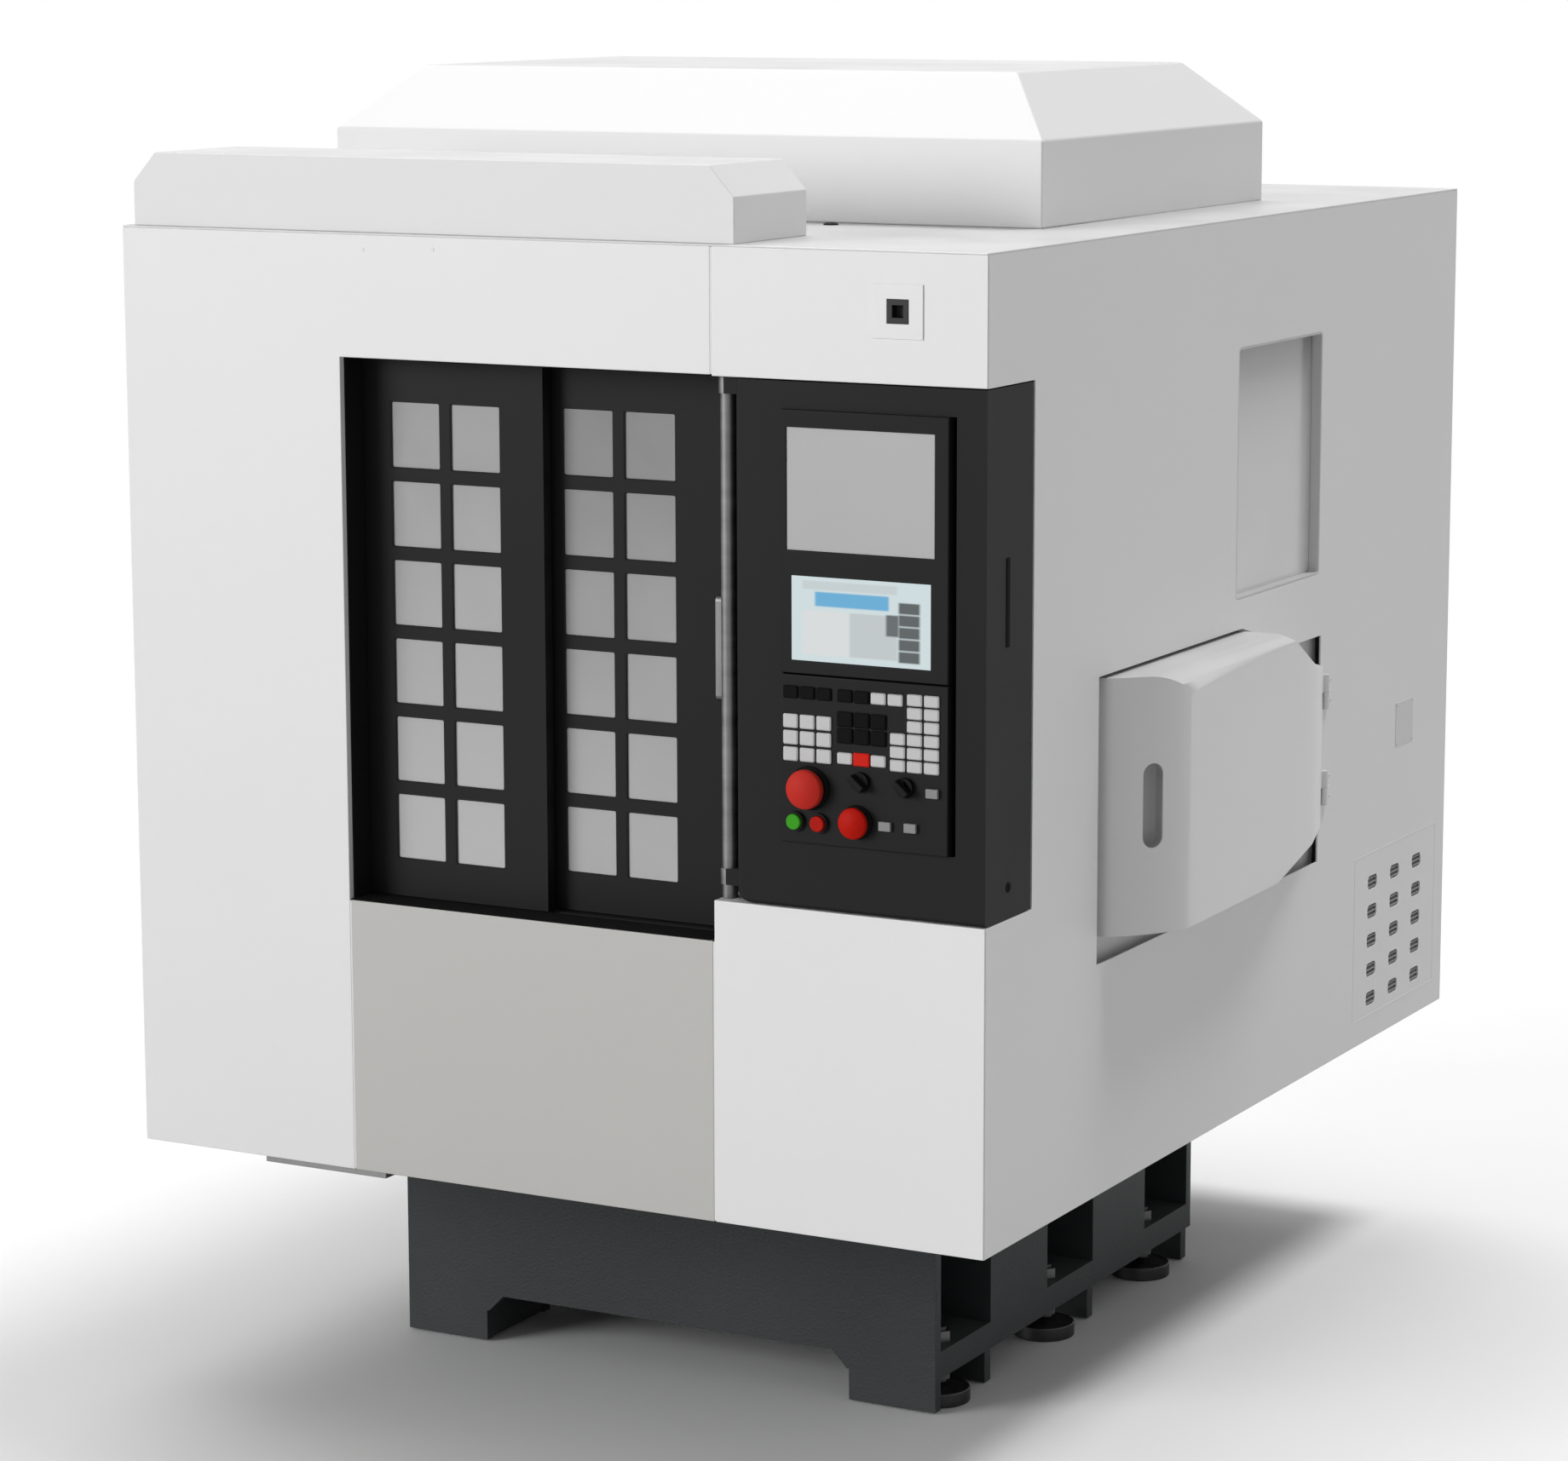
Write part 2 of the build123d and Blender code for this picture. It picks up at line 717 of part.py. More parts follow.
# Top roof hood over the heads: upright walls and a hipped top, open below
with BuildPart() as top_hood:
    hood_cx = left + hood_b_x + hood_b_w / 2
    hood_cy = front + hood_b_y + hood_b_d / 2
    for inset, mode in ((0, Mode.ADD), (hood_t, Mode.SUBTRACT)):
        with BuildSketch(Plane.XY.offset(high)):
            with Locations((hood_cx, hood_cy)):
                Rectangle(hood_b_w - 2 * inset, hood_b_d - 2 * inset)
        extrude(amount=hood_b_wall, mode=mode)
        with BuildSketch(Plane.XY.offset(high + hood_b_wall)):
            with Locations((hood_cx, hood_cy)):
                Rectangle(hood_b_w - 2 * inset, hood_b_d - 2 * inset)
        with BuildSketch(Plane.XY.offset(high + hood_b_h - inset)):
            with Locations((hood_cx, hood_cy)):
                Rectangle(
                    hood_b_w - 2 * hood_b_in_x - 2 * inset, hood_b_d - 2 * hood_b_in_y - 2 * inset
                )
        loft(mode=mode)
top_hood.part.label = "top_hood"

# Sliding doors run in two grooved rails, the trailing door in front
trail_y = front + door_setback
lead_y = trail_y + slide_t + slide_gap
trail_x = door_left - slide_hide
slide_w = (wall_x - seam - trail_x + slide_overlap) / 2
lead_x = wall_x - seam - slide_w
slide_z0 = sill + pendant_gap
slide_z1 = lintel - pendant_gap
light_pz = (slide_z1 - slide_z0 - light_rise - light_drop) / (light_rows - 1)
light_h = light_pz - light_bar
rail_y0 = trail_y - seam
rail_y1 = lead_y + slide_t + seam
groove = tongue_t / 2 + fit_gap

with BuildPart() as door_top_rail:
    block(left + sheet, wall_x, rail_y0, rail_y1, lintel, lintel + rail_h)
    for y in (trail_y, lead_y):
        block(
            left + sheet, wall_x, y + slide_t / 2 - groove, y + slide_t / 2 + groove,
            lintel, lintel + tongue_h, Mode.SUBTRACT,
        )
door_top_rail.part.label = "door_top_rail"

with BuildPart() as door_bottom_rail:
    block(left + sheet, wall_x, rail_y0, rail_y1, sill - rail_h, sill)
    for y in (trail_y, lead_y):
        block(
            left + sheet, wall_x, y + slide_t / 2 - groove, y + slide_t / 2 + groove,
            sill - tongue_h - fit_gap, sill, Mode.SUBTRACT,
        )
door_bottom_rail.part.label = "door_bottom_rail"


def door_body(x, y):
    # A folded door sheet with returns and a guide tongue above and below
    block(x, x + slide_w, y, y + slide_t, slide_z0, slide_z1)
    block(
        x + sheet, x + slide_w - sheet, y + sheet, y + slide_t, slide_z0 + sheet, slide_z1 - sheet,
        Mode.SUBTRACT,
    )
    mid = y + slide_t / 2
    block(x, x + slide_w, mid - tongue_t / 2, mid + tongue_t / 2, slide_z1 - sheet, lintel + tongue_h - 1)
    block(x, x + slide_w, mid - tongue_t / 2, mid + tongue_t / 2, sill - tongue_h, slide_z0 + sheet)


def window_grid(x, y):
    # Two columns of windows, centred on x in the door sheet at y
    with BuildSketch(Plane.XZ.offset(-y)) as grid:
        with Locations((x, slide_z0 + light_rise + (light_rows - 1) * light_pz / 2)):
            with GridLocations(light_px, light_pz, 2, light_rows):
                RectangleRounded(light_w, light_h, light_r)
    return grid.sketch


def door_pane(x, y):
    # One clear sheet behind all the windows of a door
    block(
        x + sheet + seam, x + slide_w - sheet - seam, y + sheet, y + sheet + pane_t,
        slide_z0 + sheet + seam, slide_z1 - sheet - seam,
    )


with BuildPart() as trailing_door_frame:
    door_body(trail_x, trail_y)
    extrude(window_grid(trail_x + slide_w / 2, trail_y), amount=-sheet, mode=Mode.SUBTRACT)
trailing_door_frame.part.label = "trailing_door_frame"

with BuildPart() as trailing_door_pane:
    door_pane(trail_x, trail_y)
trailing_door_pane.part.label = "trailing_door_pane"

with BuildPart() as leading_door_frame:
    door_body(lead_x, lead_y)
    extrude(window_grid(lead_x + slide_w / 2 - lead_light_shift, lead_y), amount=-sheet, mode=Mode.SUBTRACT)
leading_door_frame.part.label = "leading_door_frame"

with BuildPart() as leading_door_pane:
    door_pane(lead_x, lead_y)
leading_door_pane.part.label = "leading_door_pane"

# Pull handle: a bowed bar on two feet at the leading door's free edge
handle_x0 = lead_x + slide_w - handle_w - handle_in
handle_z0 = slide_z0 + handle_rise
with BuildPart() as door_handle:
    block(
        handle_x0, handle_x0 + handle_w, lead_y - handle_depth, lead_y,
        handle_z0, handle_z0 + handle_h,
    )
    fillet(door_handle.edges().filter_by(Axis.X).group_by(Axis.Y)[0], radius=handle_round)
    block(
        handle_x0, handle_x0 + handle_w, lead_y - handle_depth + handle_bar, lead_y,
        handle_z0 + 2 * handle_bar, handle_z0 + handle_h - 2 * handle_bar, Mode.SUBTRACT,
    )
door_handle.part.label = "door_handle"

# Hinge post of the pendant: a bright steel rod from the shelf to the upper panel
hinge_post_x = right - post_in
hinge_post_y = front + post_y
with BuildPart() as hinge_post:
    rod(hinge_post_x, hinge_post_y, recess_floor, post_r, recess_top - recess_floor)
hinge_post.part.label = "hinge_post"

# Pendant housing: a dark sheet shell flush with the box's front and side,
# open at the back inside a narrow return, carried by two knuckles on the post
pend_x0 = right - pendant_w
pend_z0 = recess_floor + pendant_gap
pend_z1 = recess_top - pendant_gap
pend_y1 = front + pendant_d
mod_x0 = right - module_in
mod_x1 = mod_x0 + module_w
mod_z0 = recess_floor + module_up
mod_zs = mod_z0 + key_module_h
mod_z1 = recess_top - module_drop
lock_at = Location((right + lock_proud - lock_l, front + lock_y, recess_floor + lock_up), (0, 90, 0))
with BuildPart() as pendant_housing:
    with BuildSketch(Plane.XZ.offset(-front)):
        with Locations(((pend_x0 + right) / 2, (pend_z0 + pend_z1) / 2)):
            Rectangle(right - pend_x0, pend_z1 - pend_z0)
        fillet(vertices().group_by(Axis.X)[0].sort_by(Axis.Y)[0], radius=corner_r)
    extrude(amount=-pendant_d)
    fillet(pendant_housing.edges().filter_by(Axis.Z).group_by(Axis.Y)[0].sort_by(Axis.X)[0], radius=fold_r)
    block(
        pend_x0 + pendant_wall, right - pendant_wall, front + pendant_wall, pend_y1 - pendant_wall,
        pend_z0 + corner_r / 2, pend_z1 - pendant_wall, Mode.SUBTRACT,
    )
    block(
        pend_x0 + return_w, right - return_w, pend_y1 - pendant_wall, pend_y1,
        pend_z0 + return_w, pend_z1 - return_w, Mode.SUBTRACT,
    )
    block(mod_x0, mod_x1 + groove_w, front, front + pendant_wall, mod_z0, mod_z1, Mode.SUBTRACT)
    for z in (pend_z0, pend_z1 - knuckle_h):
        block(
            hinge_post_x, pend_x0 + pendant_wall, hinge_post_y - knuckle_r, hinge_post_y + knuckle_r,
            z + corner_r, z + knuckle_h,
        )
        rod(hinge_post_x, hinge_post_y, z + corner_r, knuckle_r, knuckle_h - corner_r)
        rod(hinge_post_x, hinge_post_y, z, post_r + pin_gap, knuckle_h, Mode.SUBTRACT)
    with Locations(lock_at):
        Cylinder(lock_r, lock_l, align=(Align.CENTER, Align.CENTER, Align.MIN), mode=Mode.SUBTRACT)
pendant_housing.part.label = "pendant_housing"

# Side lock of the pendant: a small key barrel in its right wall
with BuildPart() as pendant_lock:
    with Locations(lock_at):
        Cylinder(lock_r, lock_l, align=(Align.CENTER, Align.CENTER, Align.MIN))
pendant_lock.part.label = "pendant_lock"

# Screen module: a thick bezel plate with two sunk screens
screen_in = 2           # screens below the bezel's face
screen_t = 6
bezel_r = 2
screen_head = 26        # screen module's upper edge to the upper screen
screen_bar = 38         # between the screens
screen_foot = 21        # below the lower screen
upper_screen_in = 9
upper_screen_w = 246
lower_screen_in = 17
lower_screen_w = 232
lower_screen_h = 127
lower_screen_z = mod_zs + screen_foot
upper_screen_z = lower_screen_z + lower_screen_h + screen_bar
upper_screen_x = mod_x0 + upper_screen_in
lower_screen_x = mod_x0 + lower_screen_in
screens = [
    (upper_screen_x, upper_screen_x + upper_screen_w, upper_screen_z, mod_z1 - screen_head),
    (lower_screen_x, lower_screen_x + lower_screen_w, lower_screen_z, lower_screen_z + lower_screen_h),
]
mod_y0 = front - module_rise
with BuildPart() as screen_module:
    block(mod_x0, mod_x1, mod_y0, front + module_depth, mod_zs + seam / 2, mod_z1)
    fillet(screen_module.edges().group_by(Axis.Y)[0], radius=bezel_r)
    for x0, x1, z0, z1 in screens:
        block(x0, x1, mod_y0, mod_y0 + screen_in + screen_t, z0, z1, Mode.SUBTRACT)
screen_module.part.label = "screen_module"

with BuildPart() as upper_screen:
    x0, x1, z0, z1 = screens[0]
    block(x0, x1, mod_y0 + screen_in, mod_y0 + screen_in + screen_t, z0, z1)
upper_screen.part.label = "upper_screen"

with BuildPart() as lower_screen:
    x0, x1, z0, z1 = screens[1]
    block(x0, x1, mod_y0 + screen_in, mod_y0 + screen_in + screen_t, z0, z1)
lower_screen.part.label = "lower_screen"

# Key module: a bezel plate with its keys, button bores and their collars.
# Places are (x, z) from the module's lower left corner.
key_w = 21
key_h = 16
key_rise = 3
key_px = 28
key_pz = 25
side_pz = 20
number_x = 17
number_z = 135
axis_x = 108
axis_z = 169
side_x = 224
side_z = 131
top_z = 229
number_keys = [(number_x + i * key_px, number_z + j * key_pz) for i in range(3) for j in range(3)]
axis_keys = [(axis_x + i * key_px, z) for i in range(3) for z in (number_z, axis_z, axis_z + key_pz)]
side_keys = [(side_x + i * key_px, side_z + j * side_pz) for i in range(2) for j in range(6)]
edge_keys = [(side_x - key_px, side_z + j * side_pz) for j in range(3)]
top_keys = [(number_x + i * key_px, top_z) for i in range(3)]
top_keys += [(axis_x + i * key_px, top_z) for i in range(4)]
all_keys = number_keys + axis_keys + side_keys + edge_keys + top_keys


def on_module(x, z):
    # A place on the key module, from its lower left corner
    return mod_x0 + x, mod_z0 + z


# Round push buttons and knobs
press_travel = 4
rest_gap = 1            # pressed head to its seat
stem_r = 7
stem_l = 20
bore_gap = 0.05
estop_at = on_module(48, 85)
hold_at = on_module(128, 40)
start_at = on_module(25, 33)
stop_at = on_module(65, 33)
feed_at = on_module(134, 101)
speed_at = on_module(208, 99)
estop_r = 30
hold_r = 24
small_r = 12
collar_w = 3
collar_h = 6
dome_lift = press_travel + rest_gap
crown_share = 0.3       # parts of a mushroom head's reach and radius
brow_share = 0.42
crown_r_share = 0.96
cap_round = 2
estop_collar_r = 17
hold_reach = 25
small_reach = 11
knob_r = 15
knob_h = 20
knob_stem_r = 5
skirt_h = 7
grip_w = 10
grip_in = 1             # grip bar's end inside the skirt
lamps_at = [on_module(176, 38), on_module(218, 39), on_module(254, 94)]
lamp_w = 20
lamp_h = 14
lamp_rise = 6

with BuildPart() as key_module:
    block(mod_x0, mod_x1, mod_y0, front + module_depth, mod_z0, mod_zs - seam / 2)
    fillet(key_module.edges().group_by(Axis.Y)[0], radius=bezel_r)
    for key in all_keys:
        x, z = on_module(*key)
        block(x - key_w / 2, x + key_w / 2, mod_y0 - key_rise, mod_y0, z - key_h / 2, z + key_h / 2)
    for x, z in (estop_at, hold_at):
        peg(x, mod_y0 - collar_h, z, estop_collar_r, collar_h)
    for x, z in (start_at, stop_at):
        peg(x, mod_y0 - collar_h, z, small_r + fit_gap + collar_w, collar_h)
        peg(x, mod_y0 - collar_h, z, small_r + fit_gap, collar_h, Mode.SUBTRACT)
    for x, z in (estop_at, hold_at, start_at, stop_at):
        peg(x, mod_y0 - collar_h, z, stem_r + bore_gap, collar_h + stem_l + dome_lift, Mode.SUBTRACT)
    for x, z in (feed_at, speed_at):
        peg(x, mod_y0, z, knob_stem_r + bore_gap, stem_l, Mode.SUBTRACT)
key_module.part.label = "key_module"


def mushroom(at, radius, reach):
    # Half the section of a domed head on a stem, which turned about the stem's
    # axis gives the button. The head stands clear of its collar by the travel.
    x, z = at
    head_y = mod_y0 - reach
    seat_y = mod_y0 - collar_h - dome_lift
    with BuildSketch(Plane(origin=(x, 0, z), x_dir=(1, 0, 0), z_dir=(0, 0, 1))) as section:
        with BuildLine():
            crown = TangentArc(
                (0, head_y), (radius * crown_r_share, head_y + reach * crown_share), tangent=(1, 0)
            )
            Polyline(
                crown @ 1,
                (radius, head_y + reach * brow_share),
                (radius, seat_y - rest_gap),
                (radius - rest_gap, seat_y),
                (stem_r, seat_y),
                (stem_r, mod_y0 + stem_l),
                (0, mod_y0 + stem_l),
                (0, head_y),
            )
        make_face()
    return section.sketch


def stem_axis(at):
    return Axis((at[0], 0, at[1]), (0, 1, 0))


def push_cap(at):
    # A flat cap inside its collar, on a stem
    x, z = at
    peg(x, mod_y0 - small_reach, z, small_r, small_reach - dome_lift)
    fillet(edges().group_by(Axis.Y)[0], radius=cap_round)
    peg(x, mod_y0 - dome_lift, z, stem_r, stem_l + dome_lift)


with BuildPart() as emergency_stop_button:
    revolve(mushroom(estop_at, estop_r, estop_reach), axis=stem_axis(estop_at))
emergency_stop_button.part.label = "emergency_stop_button"

with BuildPart() as hold_button:
    revolve(mushroom(hold_at, hold_r, hold_reach), axis=stem_axis(hold_at))
hold_button.part.label = "hold_button"

with BuildPart() as start_button:
    push_cap(start_at)
start_button.part.label = "start_button"

with BuildPart() as stop_button:
    push_cap(stop_at)
stop_button.part.label = "stop_button"

# Three small pale lamps on the key module
with BuildPart() as indicator_lamps:
    for x, z in lamps_at:
        block(x - lamp_w / 2, x + lamp_w / 2, mod_y0 - lamp_rise, mod_y0, z - lamp_h / 2, z + lamp_h / 2)
indicator_lamps.part.label = "indicator_lamps"


def rotary_knob(at):
    # A round skirt with a raised grip bar across it, on a turning stem
    x, z = at
    peg(x, mod_y0 - skirt_h, z, knob_r, skirt_h - fit_gap)
    block(
        x - grip_w / 2, x + grip_w / 2, mod_y0 - knob_h, mod_y0 - skirt_h,
        z - knob_r + grip_in, z + knob_r - grip_in,
    )
    fillet(edges().group_by(Axis.Y)[0], radius=cap_round)
    peg(x, mod_y0 - fit_gap, z, knob_stem_r, stem_l)


with BuildPart() as feed_knob:
    rotary_knob(feed_at)
feed_knob.part.label = "feed_knob"

with BuildPart() as speed_knob:
    rotary_knob(speed_at)
speed_knob.part.label = "speed_knob"

# Cabinet plate: the wall between the work chamber and the electrical cabinet
plate_y = base_y1 + cabinet_gap
with BuildPart() as cabinet_plate:
    block(left + sheet, right - sheet, plate_y, plate_y + sheet, low + sheet, high - sheet)
cabinet_plate.part.label = "cabinet_plate"

# Drive units: a row of closed electronics boxes on the cabinet plate
with BuildPart() as drive_units:
    with BuildSketch(Plane.XZ.offset(-plate_y - sheet)):
        with Locations(((left + right) / 2, low + cab_h / 2)):
            with GridLocations(drive_pitch, drive_h, drive_n, 1):
                Rectangle(drive_w, drive_h)
    extrude(amount=-drive_d)
drive_units.part.label = "drive_units"

# Bridge casting: two columns on the bed and the cross beam between them
axis_y = front + spindle_y
head_back = axis_y - head_w / 2 + head_d
saddle_y0 = head_back + run_floor
saddle_y1 = saddle_y0 + saddle_t
bridge_y0 = saddle_y1 + run_floor
bridge_y1 = bridge_y0 + bridge_d
mid_x = (base_x0 + base_x1) / 2
with BuildPart() as bridge_casting:
    block(base_x0, base_x1, bridge_y0, bridge_y1, bed_h, beam_z + beam_h)
    block(base_x0 + column_w, base_x1 - column_w, bridge_y0, bridge_y1, bed_h, beam_z, Mode.SUBTRACT)
    block(
        base_x0 + column_w, base_x1 - column_w, bridge_y0 + rib_t, bridge_y1,
        beam_z + rib_t, beam_z + beam_h - rib_t, Mode.SUBTRACT,
    )
bridge_casting.part.label = "bridge_casting"

# Linear rails of the bed and of the cross beam
rail_top = bed_h + bed_rail_h
beam_mid = beam_z + beam_h / 2
bed_rail_x = (mid_x - bed_rail_span / 2, mid_x + bed_rail_span / 2)
beam_rail_z = (beam_mid - beam_rail_span / 2, beam_mid + beam_rail_span / 2)
with BuildPart() as linear_rails:
    for x in bed_rail_x:
        block(x - rail_w / 2, x + rail_w / 2, base_y0 + rail_end, base_y1 - rail_end, bed_h, rail_top)
    for z in beam_rail_z:
        block(
            base_x0 + rail_end, base_x1 - rail_end, bridge_y0 - bed_rail_h, bridge_y0,
            z - beam_rail_w / 2, z + beam_rail_w / 2,
        )
linear_rails.part.label = "linear_rails"

# Magnet tracks of the linear drives, between the rails of each axis
with BuildPart() as drive_tracks:
    block(
        mid_x - track_w / 2, mid_x + track_w / 2, base_y0 + rail_end, base_y1 - rail_end,
        bed_h, bed_h + track_t,
    )
    block(
        base_x0 + rail_end, base_x1 - rail_end, bridge_y0 - track_t, bridge_y0,
        beam_mid - track_w / 2, beam_mid + track_w / 2,
    )
drive_tracks.part.label = "drive_tracks"

# Work table: a flat plate with four tapped corners on two grooved runners
table_z0 = bed_h + run_floor
table_top = table_z0 + runner_h + table_t
with BuildPart() as work_table:
    block(
        mid_x - table_w / 2, mid_x + table_w / 2, axis_y - table_l / 2, axis_y + table_l / 2,
        table_z0 + runner_h, table_top,
    )
    for x in bed_rail_x:
        block(
            x - runner_w / 2, x + runner_w / 2, axis_y - runner_l / 2, axis_y + runner_l / 2,
            table_z0, table_z0 + runner_h,
        )
        block(
            x - rail_w / 2 - run_gap, x + rail_w / 2 + run_gap, axis_y - runner_l / 2,
            axis_y + runner_l / 2, table_z0, rail_top + run_gap, Mode.SUBTRACT,
        )
    with Locations((mid_x, axis_y, table_top)):
        with GridLocations(table_bolt_px, table_bolt_py, 2, 2):
            Hole(table_bolt_r, depth=table_bolt_l)
work_table.part.label = "work_table"

# Beam saddle: the upright plate that crosses on the beam and carries both heads
with BuildPart() as beam_saddle:
    block(
        mid_x - saddle_w / 2, mid_x + saddle_w / 2, saddle_y0, saddle_y1,
        saddle_z, saddle_z + saddle_h,
    )
    for z in beam_rail_z:
        block(
            mid_x - saddle_w / 2, mid_x + saddle_w / 2, bridge_y0 - bed_rail_h - run_gap, saddle_y1,
            z - beam_rail_w / 2 - run_gap, z + beam_rail_w / 2 + run_gap, Mode.SUBTRACT,
        )
beam_saddle.part.label = "beam_saddle"

# Upright rails of the two heads, on the saddle's face
head_x = (mid_x - head_pitch / 2, mid_x + head_pitch / 2)
with BuildPart() as head_rails:
    for x in head_x:
        for side in (-head_rail_span / 2, head_rail_span / 2):
            block(
                x + side - head_rail_w / 2, x + side + head_rail_w / 2,
                saddle_y0 - bed_rail_h, saddle_y0, saddle_z, saddle_z + saddle_h,
            )
head_rails.part.label = "head_rails"


def head_body(x):
    # A tall slide with two rail grooves behind and a bore for the spindle unit
    block(x - head_w / 2, x + head_w / 2, axis_y - head_w / 2, head_back, head_z, head_z + head_h)
    fillet(edges().filter_by(Axis.Z).group_by(Axis.Y)[0], radius=head_round)
    for side in (-head_rail_span / 2, head_rail_span / 2):
        block(
            x + side - head_rail_w / 2 - run_gap, x + side + head_rail_w / 2 + run_gap,
            saddle_y0 - bed_rail_h - run_gap, head_back, head_z, head_z + head_h, Mode.SUBTRACT,
        )
    rod(x, axis_y, head_z, cartridge_r, head_h, Mode.SUBTRACT)


def cartridge(x):
    # The spindle unit: a turned sleeve, fixed in the head, with the rotor's bore
    rod(x, axis_y, head_z - cartridge_drop, cartridge_r, cartridge_drop + head_h)
    rod(x, axis_y, head_z - cartridge_drop, rotor_r + pin_gap, cartridge_drop + head_h / 2, Mode.SUBTRACT)


def rotor(x):
    # The turning spindle: a shaft in the sleeve and the nose below with its tool bore
    nose_z = head_z - cartridge_drop - fit_gap
    rod(x, axis_y, nose_z, rotor_r, cartridge_drop + head_h / 2)
    rod(x, axis_y, nose_z - nose_h, nose_r, nose_h)
    fillet(edges().group_by(Axis.Z)[0], radius=nose_round)
    rod(x, axis_y, nose_z - nose_h, collet_r, collet_l, Mode.SUBTRACT)


with BuildPart() as left_head:
    head_body(head_x[0])
left_head.part.label = "left_head"

with BuildPart() as right_head:
    head_body(head_x[1])
right_head.part.label = "right_head"

with BuildPart() as left_spindle_housing:
    cartridge(head_x[0])
left_spindle_housing.part.label = "left_spindle_housing"

with BuildPart() as right_spindle_housing:
    cartridge(head_x[1])
right_spindle_housing.part.label = "right_spindle_housing"

with BuildPart() as left_spindle:
    rotor(head_x[0])
left_spindle.part.label = "left_spindle"

with BuildPart() as right_spindle:
    rotor(head_x[1])
right_spindle.part.label = "right_spindle"

export_step(base_casting.part, "parts/base_casting.step")
export_step(levelling_feet.part, "parts/levelling_feet.step")
export_step(levelling_nuts.part, "parts/levelling_nuts.step")
export_step(floor_pan.part, "parts/floor_pan.step")
export_step(coolant_tray.part, "parts/coolant_tray.step")
export_step(front_left_panel.part, "parts/front_left_panel.step")
export_step(front_upper_right_panel.part, "parts/front_upper_right_panel.step")
export_step(front_lower_middle_panel.part, "parts/front_lower_middle_panel.step")
export_step(front_lower_right_panel.part, "parts/front_lower_right_panel.step")
export_step(port_plate.part, "parts/port_plate.step")
export_step(port_socket.part, "parts/port_socket.step")
export_step(pendant_recess_panel.part, "parts/pendant_recess_panel.step")
export_step(left_side_panel.part, "parts/left_side_panel.step")
export_step(right_side_panel.part, "parts/right_side_panel.step")
export_step(side_window_frame.part, "parts/side_window_frame.step")
export_step(side_window_pane.part, "parts/side_window_pane.step")
export_step(side_cover.part, "parts/side_cover.step")
export_step(rear_panel.part, "parts/rear_panel.step")
export_step(cable_gland.part, "parts/cable_gland.step")
export_step(rear_cabinet_door.part, "parts/rear_cabinet_door.step")
export_step(hinge_pins.part, "parts/hinge_pins.step")
export_step(roof_panel.part, "parts/roof_panel.step")
export_step(front_hood.part, "parts/front_hood.step")
export_step(top_hood.part, "parts/top_hood.step")
export_step(door_top_rail.part, "parts/door_top_rail.step")
export_step(door_bottom_rail.part, "parts/door_bottom_rail.step")
export_step(trailing_door_frame.part, "parts/trailing_door_frame.step")
export_step(trailing_door_pane.part, "parts/trailing_door_pane.step")
export_step(leading_door_frame.part, "parts/leading_door_frame.step")
export_step(leading_door_pane.part, "parts/leading_door_pane.step")
export_step(door_handle.part, "parts/door_handle.step")
export_step(hinge_post.part, "parts/hinge_post.step")
export_step(pendant_housing.part, "parts/pendant_housing.step")
export_step(pendant_lock.part, "parts/pendant_lock.step")
export_step(screen_module.part, "parts/screen_module.step")
export_step(upper_screen.part, "parts/upper_screen.step")
export_step(lower_screen.part, "parts/lower_screen.step")
export_step(key_module.part, "parts/key_module.step")
export_step(emergency_stop_button.part, "parts/emergency_stop_button.step")
export_step(hold_button.part, "parts/hold_button.step")
export_step(start_button.part, "parts/start_button.step")
export_step(stop_button.part, "parts/stop_button.step")
export_step(indicator_lamps.part, "parts/indicator_lamps.step")
export_step(feed_knob.part, "parts/feed_knob.step")
export_step(speed_knob.part, "parts/speed_knob.step")
export_step(cabinet_plate.part, "parts/cabinet_plate.step")
export_step(drive_units.part, "parts/drive_units.step")
export_step(bridge_casting.part, "parts/bridge_casting.step")
export_step(linear_rails.part, "parts/linear_rails.step")
export_step(drive_tracks.part, "parts/drive_tracks.step")
export_step(work_table.part, "parts/work_table.step")
export_step(beam_saddle.part, "parts/beam_saddle.step")
export_step(head_rails.part, "parts/head_rails.step")
export_step(left_head.part, "parts/left_head.step")
export_step(right_head.part, "parts/right_head.step")
export_step(left_spindle_housing.part, "parts/left_spindle_housing.step")
export_step(right_spindle_housing.part, "parts/right_spindle_housing.step")
export_step(left_spindle.part, "parts/left_spindle.step")
export_step(right_spindle.part, "parts/right_spindle.step")
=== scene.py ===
# An enclosed CNC machining center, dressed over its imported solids. Metres, +X to
# the operator's right, +Y to the back, +Z up, and the floor at zero.
import json
import math

import bmesh
import bpy
from mathutils import Matrix, Vector

